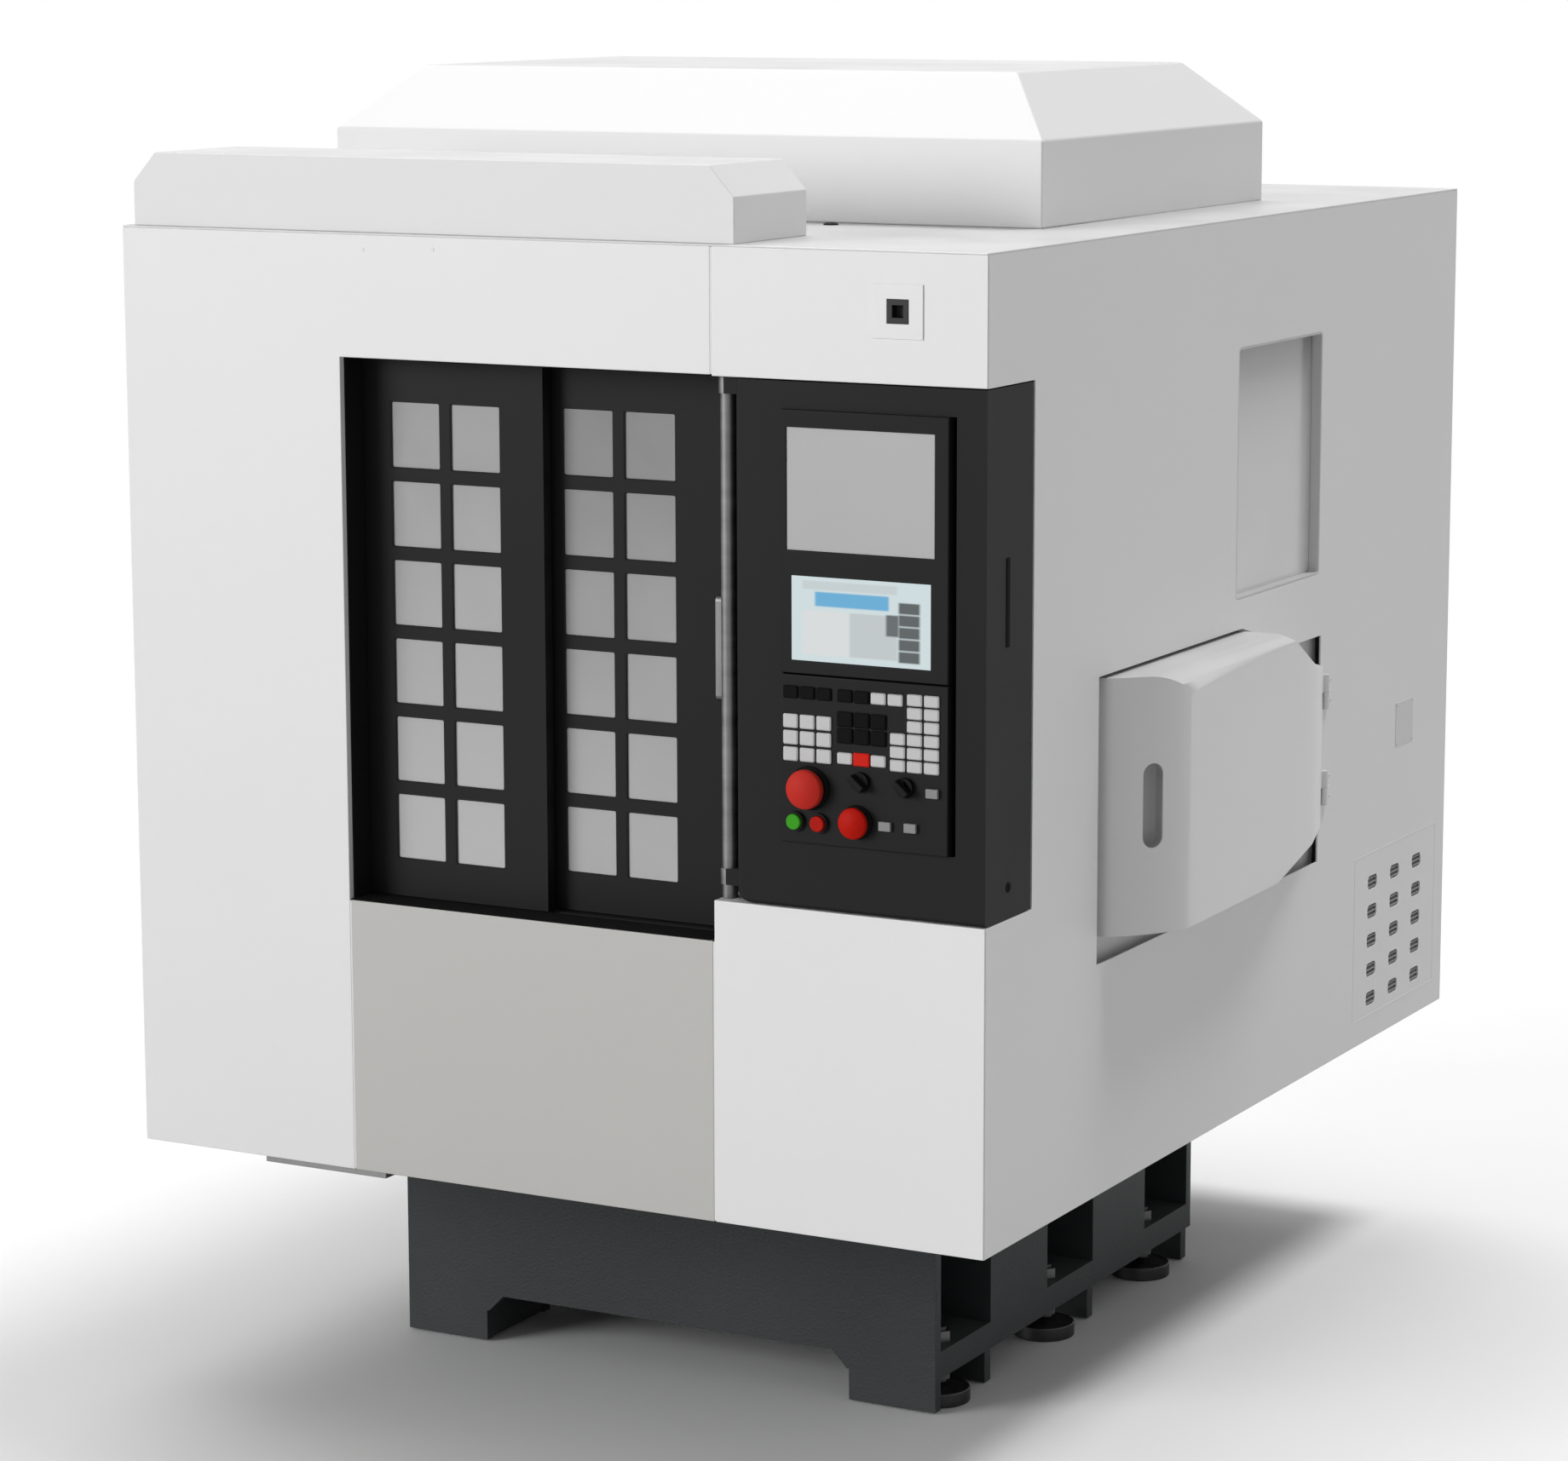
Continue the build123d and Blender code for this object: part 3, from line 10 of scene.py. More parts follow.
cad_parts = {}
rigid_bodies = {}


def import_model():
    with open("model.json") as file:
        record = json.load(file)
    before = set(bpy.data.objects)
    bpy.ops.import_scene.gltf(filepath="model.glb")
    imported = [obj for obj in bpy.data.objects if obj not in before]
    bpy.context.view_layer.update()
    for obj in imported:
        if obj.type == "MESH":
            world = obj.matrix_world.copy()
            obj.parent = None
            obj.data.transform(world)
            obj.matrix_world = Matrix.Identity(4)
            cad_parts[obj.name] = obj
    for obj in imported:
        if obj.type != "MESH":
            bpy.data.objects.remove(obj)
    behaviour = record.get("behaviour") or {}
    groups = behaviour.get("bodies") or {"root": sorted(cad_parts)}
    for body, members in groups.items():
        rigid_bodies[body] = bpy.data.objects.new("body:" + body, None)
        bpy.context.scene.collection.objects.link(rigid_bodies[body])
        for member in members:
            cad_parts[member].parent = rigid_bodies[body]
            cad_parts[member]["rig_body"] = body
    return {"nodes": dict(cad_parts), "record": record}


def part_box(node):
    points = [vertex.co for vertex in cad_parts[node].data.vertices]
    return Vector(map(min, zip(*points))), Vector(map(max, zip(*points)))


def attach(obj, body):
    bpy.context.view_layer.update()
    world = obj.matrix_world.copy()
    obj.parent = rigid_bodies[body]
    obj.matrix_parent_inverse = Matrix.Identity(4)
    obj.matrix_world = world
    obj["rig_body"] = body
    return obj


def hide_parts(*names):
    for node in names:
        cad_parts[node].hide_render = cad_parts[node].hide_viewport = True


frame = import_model()
solids = frame["nodes"]
slot_of = {part["node"]: part["material_slot"] for part in frame["record"]["subparts"]}
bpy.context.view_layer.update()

# The base casting. A deep grey-iron bed stands on six levelling feet and carries
# the whole machine. It is cast in sand, so its skin is slightly uneven under a
# dark blue-grey paint, and its edges are rounded by the pattern and the grinder.


def put(tree, kind, sockets=None, **settings):
    # One node of a shader or geometry tree, with its settings, values and links
    made = tree.nodes.new(kind)
    for name, value in settings.items():
        setattr(made, name, value)
    for socket, value in (sockets or {}).items():
        if isinstance(value, bpy.types.NodeSocket):
            tree.links.new(value, made.inputs[socket])
        else:
            made.inputs[socket].default_value = value
    return made


def sum_of(tree, operation, *values):
    # The result of one Math node
    return put(tree, "ShaderNodeMath", dict(enumerate(values)), operation=operation).outputs[0]


def blend(tree, share, one, other):
    # A colour between two others
    return put(tree, "ShaderNodeMix", {0: share, 6: one, 7: other}, data_type="RGBA").outputs[2]


def remap(tree, value, low, high, to_low=0.0, to_high=1.0):
    # A value moved from one range to another, and kept inside it
    sockets = {"Value": value, "From Min": low, "From Max": high, "To Min": to_low, "To Max": to_high}
    return put(tree, "ShaderNodeMapRange", sockets).outputs[0]


def noise(tree, place, scale, detail=3.0):
    # Soft cloudy values
    sockets = {"Vector": place, "Scale": scale, "Detail": detail}
    return put(tree, "ShaderNodeTexNoise", sockets).outputs["Fac"]


def here(tree):
    # Where a point lies on the piece
    return put(tree, "ShaderNodeTexCoord").outputs["Object"]


def effect(name, inputs, outputs):
    # An empty shader group with named inputs and outputs
    group = bpy.data.node_groups.new(name, "ShaderNodeTree")
    for title, kind, value in inputs:
        socket = group.interface.new_socket(name=title, in_out="INPUT", socket_type=kind)
        socket.default_value = value
    for title, kind in outputs:
        group.interface.new_socket(name=title, in_out="OUTPUT", socket_type=kind)
    return group, group.nodes.new("NodeGroupInput").outputs, group.nodes.new("NodeGroupOutput").inputs


def use(tree, group, **values):
    # A shader group in a material; underscores in the names stand for spaces
    node = put(tree, "ShaderNodeGroup", node_tree=group)
    for name, value in values.items():
        node.inputs[name.replace("_", " ")].default_value = value
    return node.outputs


def shade(red, green=None, blue=None):
    # The colour that shows at these levels, from 0 to 255, in a picture
    levels = (red, red, red) if green is None else (red, green, blue)
    return tuple(((c / 255 + 0.055) / 1.055) ** 2.4 for c in levels) + (1.0,)


NUMBER, COLOUR, MATERIAL = "NodeSocketFloat", "NodeSocketColor", "NodeSocketMaterial"

# Paint skin: a broad, faint change of tone, a fine grain in the surface and a
# roughness that wanders a little
paint_skin, given, made = effect(
    "paint skin",
    [("Colour", COLOUR, shade(128)), ("Patch Scale", NUMBER, 3.0), ("Patch Depth", NUMBER, 0.06),
     ("Grain Scale", NUMBER, 300.0), ("Roughness", NUMBER, 0.5), ("Spread", NUMBER, 0.1)],
    [("Colour", COLOUR), ("Roughness", NUMBER), ("Height", NUMBER)],
)
place = here(paint_skin)
swing = sum_of(paint_skin, "SUBTRACT", noise(paint_skin, place, given["Patch Scale"], 4.0), 0.5)
level = sum_of(paint_skin, "MULTIPLY_ADD", swing, given["Patch Depth"], 1.0)
sockets = {0: given["Colour"], "Scale": level}
toned = put(paint_skin, "ShaderNodeVectorMath", sockets, operation="SCALE").outputs[0]
paint_skin.links.new(toned, made["Colour"])
paint_skin.links.new(
    sum_of(paint_skin, "MULTIPLY_ADD", swing, given["Spread"], given["Roughness"]), made["Roughness"]
)
paint_skin.links.new(noise(paint_skin, place, given["Grain Scale"]), made["Height"])

# Edge rub: a mask that is white along outer edges, broken up where hands, hoses
# and chips have not reached
edge_rub, given, made = effect(
    "edge rub",
    [("Width", NUMBER, 0.003), ("Break Scale", NUMBER, 60.0), ("Amount", NUMBER, 0.5)],
    [("Mask", NUMBER)],
)
flat = put(edge_rub, "ShaderNodeNewGeometry").outputs["Normal"]
eased = put(edge_rub, "ShaderNodeBevel", {"Radius": given["Width"]}, samples=4).outputs["Normal"]
sockets = {0: flat, 1: eased}
agree = put(edge_rub, "ShaderNodeVectorMath", sockets, operation="DOT_PRODUCT").outputs["Value"]
flat_enough, well_turned = 0.995, 0.8
turned = remap(edge_rub, agree, flat_enough, well_turned)
flecks = noise(edge_rub, here(edge_rub), given["Break Scale"], 5.0)
chips = remap(edge_rub, flecks, 0.42, 0.62)
edge_rub.links.new(
    sum_of(edge_rub, "MULTIPLY", sum_of(edge_rub, "MULTIPLY", turned, chips), given["Amount"]),
    made["Mask"],
)

# Dust and top shade: a pale film that thickens towards the floor and on upward faces; dust where it is
# light, painted shade on the tops where a finish makes it strong
dust_and_top_shade, given, made = effect(
    "dust and top shade", [("Reach", NUMBER, 0.35), ("Level", NUMBER, 0.6), ("Amount", NUMBER, 0.3)],
    [("Mask", NUMBER)],
)
place = here(dust_and_top_shade)
height = put(dust_and_top_shade, "ShaderNodeSeparateXYZ", {0: place}).outputs["Z"]
normal = put(dust_and_top_shade, "ShaderNodeNewGeometry").outputs["Normal"]
facing = put(dust_and_top_shade, "ShaderNodeSeparateXYZ", {0: normal}).outputs["Z"]
floor_share, thin, thick = 0.7, 0.5, 0.8
near = remap(dust_and_top_shade, height, given["Reach"], 0.0, 0.0, floor_share)
film = sum_of(dust_and_top_shade, "MAXIMUM", near, remap(dust_and_top_shade, facing, given["Level"], 1.0))
drift = remap(dust_and_top_shade, noise(dust_and_top_shade, place, 5.0, 6.0), 0.3, 0.7, thin, thick)
spots = sum_of(dust_and_top_shade, "MULTIPLY", film, drift)
dust_and_top_shade.links.new(sum_of(dust_and_top_shade, "MULTIPLY", spots, given["Amount"]), made["Mask"])


def new_finish(name, roughness=0.5, shine=0.5):
    # An empty material, its tree and its shader
    material = bpy.data.materials.new(name)
    material.use_nodes = True
    shader = material.node_tree.nodes["Principled BSDF"]
    shader.inputs["Roughness"].default_value = roughness
    shader.inputs["Specular IOR Level"].default_value = shine
    return material, material.node_tree, shader


def painted(name, colour, patch, grain, relief, roughness, bare, rub, dust, shine=0.5, level=0.6):
    # A painted surface: its skin, edges rubbed down to what is under it, and dust, which becomes
    # painted shade on the upward faces where it is strong
    material, tree, shader = new_finish(name, shine=shine)
    skin = use(
        tree, paint_skin, Colour=colour, Patch_Depth=patch, Grain_Scale=grain, Roughness=roughness,
        Spread=0.15,
    )
    worn = blend(tree, use(tree, edge_rub, Amount=rub)["Mask"], skin["Colour"], bare)
    film = use(tree, dust_and_top_shade, Level=level, Amount=dust)["Mask"]
    # The film's grey: dust, and painted shade on strongly filmed tops
    dust_and_shade_grey = shade(176)
    dust_and_shade_toned = blend(tree, film, worn, dust_and_shade_grey)
    bump = put(tree, "ShaderNodeBump", {"Height": skin["Height"], "Distance": relief})
    tree.links.new(dust_and_shade_toned, shader.inputs["Base Color"])
    tree.links.new(skin["Roughness"], shader.inputs["Roughness"])
    tree.links.new(bump.outputs["Normal"], shader.inputs["Normal"])
    return material


def keep(piece, body, slot, *finishes):
    # A finished piece: its finishes and its body. The slot it is given is not used.
    if finishes:
        piece.data.materials.clear()
        for finish in finishes:
            piece.data.materials.append(finish)
    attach(piece, body)
    return piece


def show(name, mesh):
    # Puts a mesh in the scene as an object at the origin
    piece = bpy.data.objects.new(name, mesh)
    bpy.context.scene.collection.objects.link(piece)
    return piece


def show_work(name, work):
    # Puts a worked mesh in the scene
    mesh = bpy.data.meshes.new(name)
    work.to_mesh(mesh)
    work.free()
    return show(name, mesh)


def settled(piece):
    # Turns a piece with modifiers into a plain mesh
    bpy.context.view_layer.update()
    seen = piece.evaluated_get(bpy.context.evaluated_depsgraph_get())
    piece.data = bpy.data.meshes.new_from_object(seen)
    piece.modifiers.clear()
    piece.data.name = piece.name
    return piece


def eased_edges(piece, radius):
    # Rounds the sharp edges of a piece and evens out its shading
    rounded_from, creased_from = math.radians(40), math.radians(50)
    soften = piece.modifiers.new("eased edges", "BEVEL")
    soften.width = radius
    soften.segments = 2
    soften.limit_method = "ANGLE"
    soften.angle_limit = rounded_from
    settled(piece)
    piece.data.shade_smooth()
    piece.data.set_sharp_from_angle(angle=creased_from)
    level = piece.modifiers.new("even shading", "WEIGHTED_NORMAL")
    level.keep_sharp = True
    return settled(piece)


def merged(name):
    # A copy of a solid's mesh, joined up and with its flat faces whole
    work = bmesh.new()
    work.from_mesh(solids[name].data)
    together_within, flat_within = 1e-5, math.radians(0.5)
    bmesh.ops.remove_doubles(work, verts=work.verts, dist=together_within)
    bmesh.ops.dissolve_limit(work, angle_limit=flat_within, verts=work.verts, edges=work.edges)
    return show_work(name + "_finished", work)


def stand_for(name, piece, finish, radius):
    # The finished piece takes the place of its solid, with its sharp edges eased
    keep(eased_edges(piece, radius), solids[name]["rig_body"], slot_of[name], finish)
    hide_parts(name)


def finished(finish, radius, *names):
    # Each stands for a solid of the same shape
    for name in names:
        stand_for(name, merged(name), finish, radius)


cast_paint = painted(
    "dark blue-grey casting paint", shade(33, 37, 39), patch=0.30, grain=240.0, relief=0.0006,
    roughness=0.52, bare=shade(80), rub=0.3, dust=0.1, shine=0.25,
)
finished(cast_paint, 0.005, "base_casting")


def bars(name, boxes, body, slot, finish, radius=0.0003):
    # Small straight pieces of one finish: from x, to x, from y, to y, from z, to z
    work = bmesh.new()
    for x0, x1, y0, y1, z0, z1 in boxes:
        size = Matrix.Diagonal((x1 - x0, y1 - y0, z1 - z0, 1.0))
        middle = Matrix.Translation(((x0 + x1) / 2, (y0 + y1) / 2, (z0 + z1) / 2))
        bmesh.ops.create_cube(work, size=1.0, matrix=middle @ size)
    return keep(eased_edges(show_work(name, work), radius), body, slot, finish)


# A web closes the inner side of each front leg, between its apron and its rib
web_y, web_z = (-0.5735, -0.4085), (0.004, 0.057)
bars(
    "leg_webs", [(-0.4090, -0.3895, *web_y, *web_z), (0.2995, 0.3190, *web_y, *web_z)],
    "machine", slot_of["base_casting"], cast_paint, 0.003,
)

# The levelling feet. Turned steel pads with a threaded stud each, blackened, and
# two phosphated nuts that clamp the casting's pad. They stand loose on the floor.


def machined(name, colour, roughness, stretch, relief, rub=0.0, bare=shade(235)):
    # Cut or ground metal with fine lines that run along one direction
    material, tree, shader = new_finish(name)
    place = here(tree)
    drawn = put(tree, "ShaderNodeMapping", {"Vector": place, "Scale": stretch}).outputs[0]
    lines = noise(tree, drawn, 1.0)
    both = sum_of(tree, "ADD", lines, noise(tree, place, 14.0))
    dark_share, light_share = 0.8, 1.15
    darker = tuple(c * dark_share for c in colour[:3]) + (1.0,)
    lighter = tuple(min(1.0, c * light_share) for c in colour[:3]) + (1.0,)
    tone = blend(tree, remap(tree, both, 0.7, 1.3), darker, lighter)
    if rub:
        tone = blend(tree, use(tree, edge_rub, Amount=rub)["Mask"], tone, bare)
    smoother, rougher = roughness - 0.06, roughness + 0.08
    rough = remap(tree, both, 0.6, 1.4, smoother, rougher)
    bump = put(tree, "ShaderNodeBump", {"Height": lines, "Distance": relief})
    tree.links.new(tone, shader.inputs["Base Color"])
    tree.links.new(rough, shader.inputs["Roughness"])
    tree.links.new(bump.outputs["Normal"], shader.inputs["Normal"])
    shader.inputs["Metallic"].default_value = 1.0
    return material


def geometry_tree(name, **inputs):
    # An empty geometry tree: a mesh of places in, and named sizes and a finish
    tree = bpy.data.node_groups.new(name, "GeometryNodeTree")
    face = tree.interface
    face.new_socket(name="Places", in_out="INPUT", socket_type="NodeSocketGeometry")
    face.new_socket(name="Finish", in_out="INPUT", socket_type=MATERIAL)
    for title, value in inputs.items():
        kind = "NodeSocketVector" if isinstance(value, tuple) else NUMBER
        socket = face.new_socket(name=title.replace("_", " "), in_out="INPUT", socket_type=kind)
        socket.default_value = value
    face.new_socket(name="Mesh", in_out="OUTPUT", socket_type="NodeSocketGeometry")
    return tree, tree.nodes.new("NodeGroupInput").outputs


def close_tree(tree, given, shape):
    # Every tree ends in plain geometry with one finish
    real = put(tree, "GeometryNodeRealizeInstances", {0: shape}).outputs[0]
    faced = put(tree, "GeometryNodeSetMaterial", {"Geometry": real, "Material": given["Finish"]})
    ending = tree.nodes.new("NodeGroupOutput")
    tree.links.new(faced.outputs[0], ending.inputs["Mesh"])
    return tree


def on_places(tree, given, shape, turn=(0.0, 0.0, 0.0)):
    # The shape at each of the tree's places
    sockets = {"Points": given["Places"], "Instance": shape, "Rotation": turn}
    return put(tree, "GeometryNodeInstanceOnPoints", sockets).outputs[0]


def grown(name, tree, places, body, slot, finish, **sizes):
    # Runs a geometry tree on a list of places and keeps the result as a plain mesh
    mesh = bpy.data.meshes.new(name)
    mesh.from_pydata([Vector(p) for p in places], [], [])
    piece = show(name, mesh)
    modifier = piece.modifiers.new("grown", "NODES")
    modifier.node_group = tree
    values = {title.replace("_", " "): value for title, value in sizes.items()}
    values["Finish"] = finish
    for item in tree.interface.items_tree:
        if item.in_out == "INPUT" and item.name in values:
            modifier[item.identifier] = values[item.name]
    return keep(settled(piece), body, slot)


stud_thread, given = geometry_tree(
    "stud thread", Radius=0.012, Length=0.02, Pitch=0.0025, Ridge=0.0009
)
turns = sum_of(stud_thread, "DIVIDE", given["Length"], given["Pitch"])
sockets = {
    "Resolution": 20, "Rotations": turns, "Start Radius": given["Radius"],
    "End Radius": given["Radius"], "Height": given["Length"],
}
helix = put(stud_thread, "GeometryNodeCurveSpiral", sockets).outputs[0]
sockets = {"Resolution": 4, "Radius": given["Ridge"]}
tooth = put(stud_thread, "GeometryNodeCurvePrimitiveCircle", sockets).outputs[0]
sockets = {"Curve": helix, "Profile Curve": tooth, "Fill Caps": True}
wound = put(stud_thread, "GeometryNodeCurveToMesh", sockets).outputs[0]
close_tree(stud_thread, given, on_places(stud_thread, given, wound))

blackened = machined(
    "blackened steel", shade(62), 0.45, stretch=(40.0, 40.0, 900.0), relief=0.0001,
    rub=0.25, bare=shade(150),
)
phosphated = machined(
    "phosphated nut steel", shade(92), 0.42, stretch=(60.0, 60.0, 500.0), relief=0.0001
)
finished(blackened, 0.0025, "levelling_feet")
finished(phosphated, 0.0012, "levelling_nuts")
nut_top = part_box("levelling_nuts")[1].z
foot_low, foot_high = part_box("levelling_feet")
pad_radius, stud_radius, stud_end = 0.052, 0.012, 0.001
foot_rows = (foot_low.y + pad_radius, (foot_low.y + foot_high.y) / 2, foot_high.y - pad_radius)
foot_columns = (foot_low.x + pad_radius, foot_high.x - pad_radius)
grown(
    "stud_threads", stud_thread, [(x, y, nut_top) for x in foot_columns for y in foot_rows],
    "machine", "foot_steel", blackened, Radius=stud_radius, Length=foot_high.z - nut_top - stud_end,
)


# The floor pan and the coolant tray. The pan closes the box below and is coated
# like the other sheets; the shallow tray under it is folded from bare zinc sheet.
def powder_coat(
    name, colour, bare, dust, patch=0.02, relief=0.00006, roughness=0.42, rub=0.12, shine=0.5, level=0.6
):
    # A coat baked on sheet, with a fine even grain
    grain = 420.0
    return painted(name, colour, patch, grain, relief, roughness, bare, rub, dust, shine, level)


sheet_white, rubbed_white = shade(229), shade(205)
white_coat = powder_coat("white powder coat", sheet_white, rubbed_white, dust=0.03)
galvanised = machined(
    "galvanised sheet", shade(120), 0.5, stretch=(30.0, 30.0, 30.0), relief=0.0001
)
finished(white_coat, 0.0015, "floor_pan")
finished(galvanised, 0.001, "coolant_tray")

# The white sheets of the enclosure. Each is laser cut and folded from 3 mm steel,
# powder coated white inside and out, and screwed from inside to its neighbours.
finished(
    white_coat, 0.0015, "front_left_panel", "front_upper_right_panel", "front_lower_right_panel",
    "left_side_panel", "right_side_panel", "rear_panel", "port_plate", "cabinet_plate",
)
# The roof and the hoods take a strong film on their upward faces: painted shade that darkens their
# tops, with a little dust
top_shaded_roof_coat = powder_coat(
    "white powder coat with dust and painted top shade", sheet_white, rubbed_white, dust=0.95, shine=0.25, level=0.90
)
finished(top_shaded_roof_coat, 0.0015, "roof_panel")

# The warm grey sheet under the doors, and the dark sheets around them: the wall of
# the pendant's recess and the two grooved rails. They are coated like the rest.
warm_coat = powder_coat("warm grey powder coat", shade(186, 185, 182), shade(150), dust=0.04)
dark_coat = powder_coat(
    "dark powder coat", shade(22, 22, 23), shade(52), dust=0.02, patch=0.06, relief=0.00008,
    roughness=0.5, shine=0.12,
)
finished(warm_coat, 0.0015, "front_lower_middle_panel")
finished(dark_coat, 0.001, "pendant_recess_panel", "door_top_rail", "door_bottom_rail")


# The joints of the front sheets, run full of pale sealant, and the black seals of the door opening: a
# brush on the jamb and the lintel and a wear strip on the sill.
# The black seals also stand in for the shade deep in the opening's reveal, as painted shade.
def moulded(name, colour, roughness, grain=900.0, relief=0.00004, shine=0.5):
    # Moulded plastic or rubber with a fine spark grain
    material, tree, shader = new_finish(name, shine=shine)
    skin = use(
        tree, paint_skin, Colour=colour, Patch_Depth=0.05, Grain_Scale=grain, Roughness=roughness,
        Spread=0.12,
    )
    bump = put(tree, "ShaderNodeBump", {"Height": skin["Height"], "Distance": relief})
    tree.links.new(skin["Colour"], shader.inputs["Base Color"])
    tree.links.new(skin["Roughness"], shader.inputs["Roughness"])
    tree.links.new(bump.outputs["Normal"], shader.inputs["Normal"])
    return material


sealant = moulded("pale sealant", shade(229), 0.6)
seal_and_reveal_shade_black = moulded("black brush seal and reveal shade", shade(16), 0.8, grain=1600.0, relief=0.0004, shine=0.1)
joint_y, above_doors, below_doors = (-0.9664, -0.9625), (1.697, 1.886), (0.392, 0.831)
left_joint, right_joint = (-0.4002, -0.3978), (0.2608, 0.2632)
bars(
    "joint_sealant",
    [(*right_joint, *joint_y, *above_doors), (*right_joint, *joint_y, *below_doors),
     (*left_joint, *joint_y, *below_doors)],
    "machine", "white_sheet", sealant,
)
jamb = (-0.4000, -0.3970, -0.9560, -0.9095, 0.834, 1.695)
lintel = (-0.3970, 0.2530, -0.9500, -0.9095, 1.693, 1.696)
sill = (-0.3970, 0.2530, -0.9655, -0.9095, 0.832, 0.8332)
bars("door_seals_and_reveal_shade", [jamb, lintel, sill], "machine", "frame_rubber", seal_and_reveal_shade_black)

# The service port over the pendant: a moulded black socket with a square well, set
# in a white plate.
port_black = moulded("black socket plastic", shade(20), 0.5, shine=0.3)
finished(port_black, 0.0008, "port_socket")


# The side window: a grey clear sheet behind a deep ring of grey moulded rubber,
# which is pressed into the right side panel from outside.
def pane_with_painted_shade(name, lower, upper, low, high, shade_steepness=1.0):
    # A tinted sheet that looks grey over the dark chamber, with painted shade that darkens it towards
    # its top
    material, tree, shader = new_finish(name, 0.16)
    place = here(tree)
    height = put(tree, "ShaderNodeSeparateXYZ", {0: place}).outputs["Z"]
    painted_shade_climb = sum_of(tree, "POWER", remap(tree, height, low, high), shade_steepness)
    tone = blend(tree, painted_shade_climb, lower, upper)
    haze, most_haze = shade(196), 0.12
    clear, wiped = 0.14, 0.24
    film = noise(tree, place, 5.0, 5.0)
    hazy = blend(tree, remap(tree, film, 0.35, 0.75, 0.0, most_haze), tone, haze)
    tree.links.new(hazy, shader.inputs["Base Color"])
    tree.links.new(remap(tree, film, 0.3, 0.7, clear, wiped), shader.inputs["Roughness"])
    shader.inputs["Alpha"].default_value = 0.94
    return material


# The ring's strong film on its upward faces is painted shade that darkens its sill
sill_shaded_window_rubber = painted(
    "grey window rubber with painted sill shade", shade(208), patch=0.05, grain=900.0, relief=0.00004, roughness=0.62,
    bare=shade(170), rub=0.1, dust=1.0, shine=0.3, level=0.3,
)
finished(sill_shaded_window_rubber, 0.0012, "side_window_frame")
side_low, side_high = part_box("side_window_pane")
# The side pane's painted shade climbs steeply at its top, standing for the shadow of the deep ring
# above it
side_glass = pane_with_painted_shade("side window pane", shade(228), shade(158), side_low.z, side_high.z, 4.0)
finished(side_glass, 0.0005, "side_window_pane")


# The chip hatch: a grey flange spot welded behind its opening, and over it the side
# cover, a pillow-shaped lid of white coated sheet on two hinges coated with it. A
# moulded cup lies behind the finger slot in the cover's curved front.
def plate_with_hole(name, outline, hole, x0, x1):
    # A flat ring across X between two outlines of as many corners, given in Y and Z
    work = bmesh.new()
    count = len(outline)
    loops = (outline, hole)
    rings = [[work.verts.new((x, y, z)) for y, z in loop] for x in (x0, x1) for loop in loops]
    for i in range(count):
        j = (i + 1) % count
        for one, other in ((0, 1), (1, 3), (3, 2), (2, 0)):
            work.faces.new((rings[one][i], rings[one][j], rings[other][j], rings[other][i]))
    bmesh.ops.recalc_face_normals(work, faces=work.faces)
    return show_work(name, work)


flange_grey = powder_coat(
    "grey flange coat", shade(206), shade(150), dust=0.1, patch=0.04, roughness=0.5, rub=0.2
)
flange_edge = [
    (-0.590, 0.740), (0.376, 0.740), (0.376, 1.181), (0.240, 1.181), (0.004, 1.239), (-0.590, 1.239)
]
hatch_edge = [
    (-0.500, 0.830), (0.286, 0.830), (0.286, 1.080), (0.222, 1.092), (-0.012, 1.150), (-0.500, 1.150)
]
flange_back, flange_front = 0.6980, 0.7010
flange = plate_with_hole("hatch_flange", flange_edge, hatch_edge, flange_back, flange_front)
keep(eased_edges(flange, 0.0006), "machine", "white_sheet", flange_grey)

# The cover's coat paints shade on its upward faces, darkening its rounded top
top_shaded_cover_coat = powder_coat(
    "white powder coat of the cover with painted top shade", sheet_white, rubbed_white, dust=0.7, level=0.30
)
cover = merged("side_cover")
work = bmesh.new()
work.from_mesh(cover.data)
for cut_y in (-0.385, -0.350):
    # A cut across the pressed face, so that its turn towards the front shades softly
    whole = work.verts[:] + work.edges[:] + work.faces[:]
    bmesh.ops.bisect_plane(work, geom=whole, plane_co=(0.0, cut_y, 0.0), plane_no=(0.0, 1.0, 0.0))
work.to_mesh(cover.data)
work.free()
stand_for("side_cover", cover, top_shaded_cover_coat, 0.002)
finished(white_coat, 0.0008, "hinge_pins")

slot_middle = Vector((0.777, -0.485, 1.006))
outward = Vector((0.125, -0.090, 0.0)).normalized()
sideways = Vector((0.0, 0.0, 1.0)).cross(outward)
# Half its width, half its height and its place along the line outward
cup_section = [
    (0.0180, 0.0670, -0.0290), (0.0215, 0.0705, -0.0270), (0.0220, 0.0710, -0.0048),
    (0.0205, 0.0695, -0.0048), (0.0200, 0.0690, -0.0255), (0.0170, 0.0660, -0.0270),
]
cup_steps = 32
work = bmesh.new()
loops = []
for half_width, half_height, depth in cup_section:
    loop = []
    for step in range(cup_steps):
        turn = 2 * math.pi * (step + 0.5) / cup_steps
        rise = math.sin(turn) * half_width + math.copysign(half_height - half_width, math.sin(turn))
        flat_place = slot_middle + sideways * (math.cos(turn) * half_width) + outward * depth
        loop.append(work.verts.new(flat_place + Vector((0.0, 0.0, rise))))
    loops.append(loop)
for one, other in zip(loops, loops[1:]):
    for i in range(cup_steps):
        j = (i + 1) % cup_steps
        work.faces.new((one[i], one[j], other[j], other[i]))
work.faces.new(loops[0])
work.faces.new(loops[-1])
bmesh.ops.recalc_face_normals(work, faces=work.faces)
cup = eased_edges(show_work("finger_cup", work), 0.0006)
cup_grey = moulded("grey finger cup", shade(188), 0.6)
keep(cup, "side_cover_lid", "white_sheet", cup_grey)

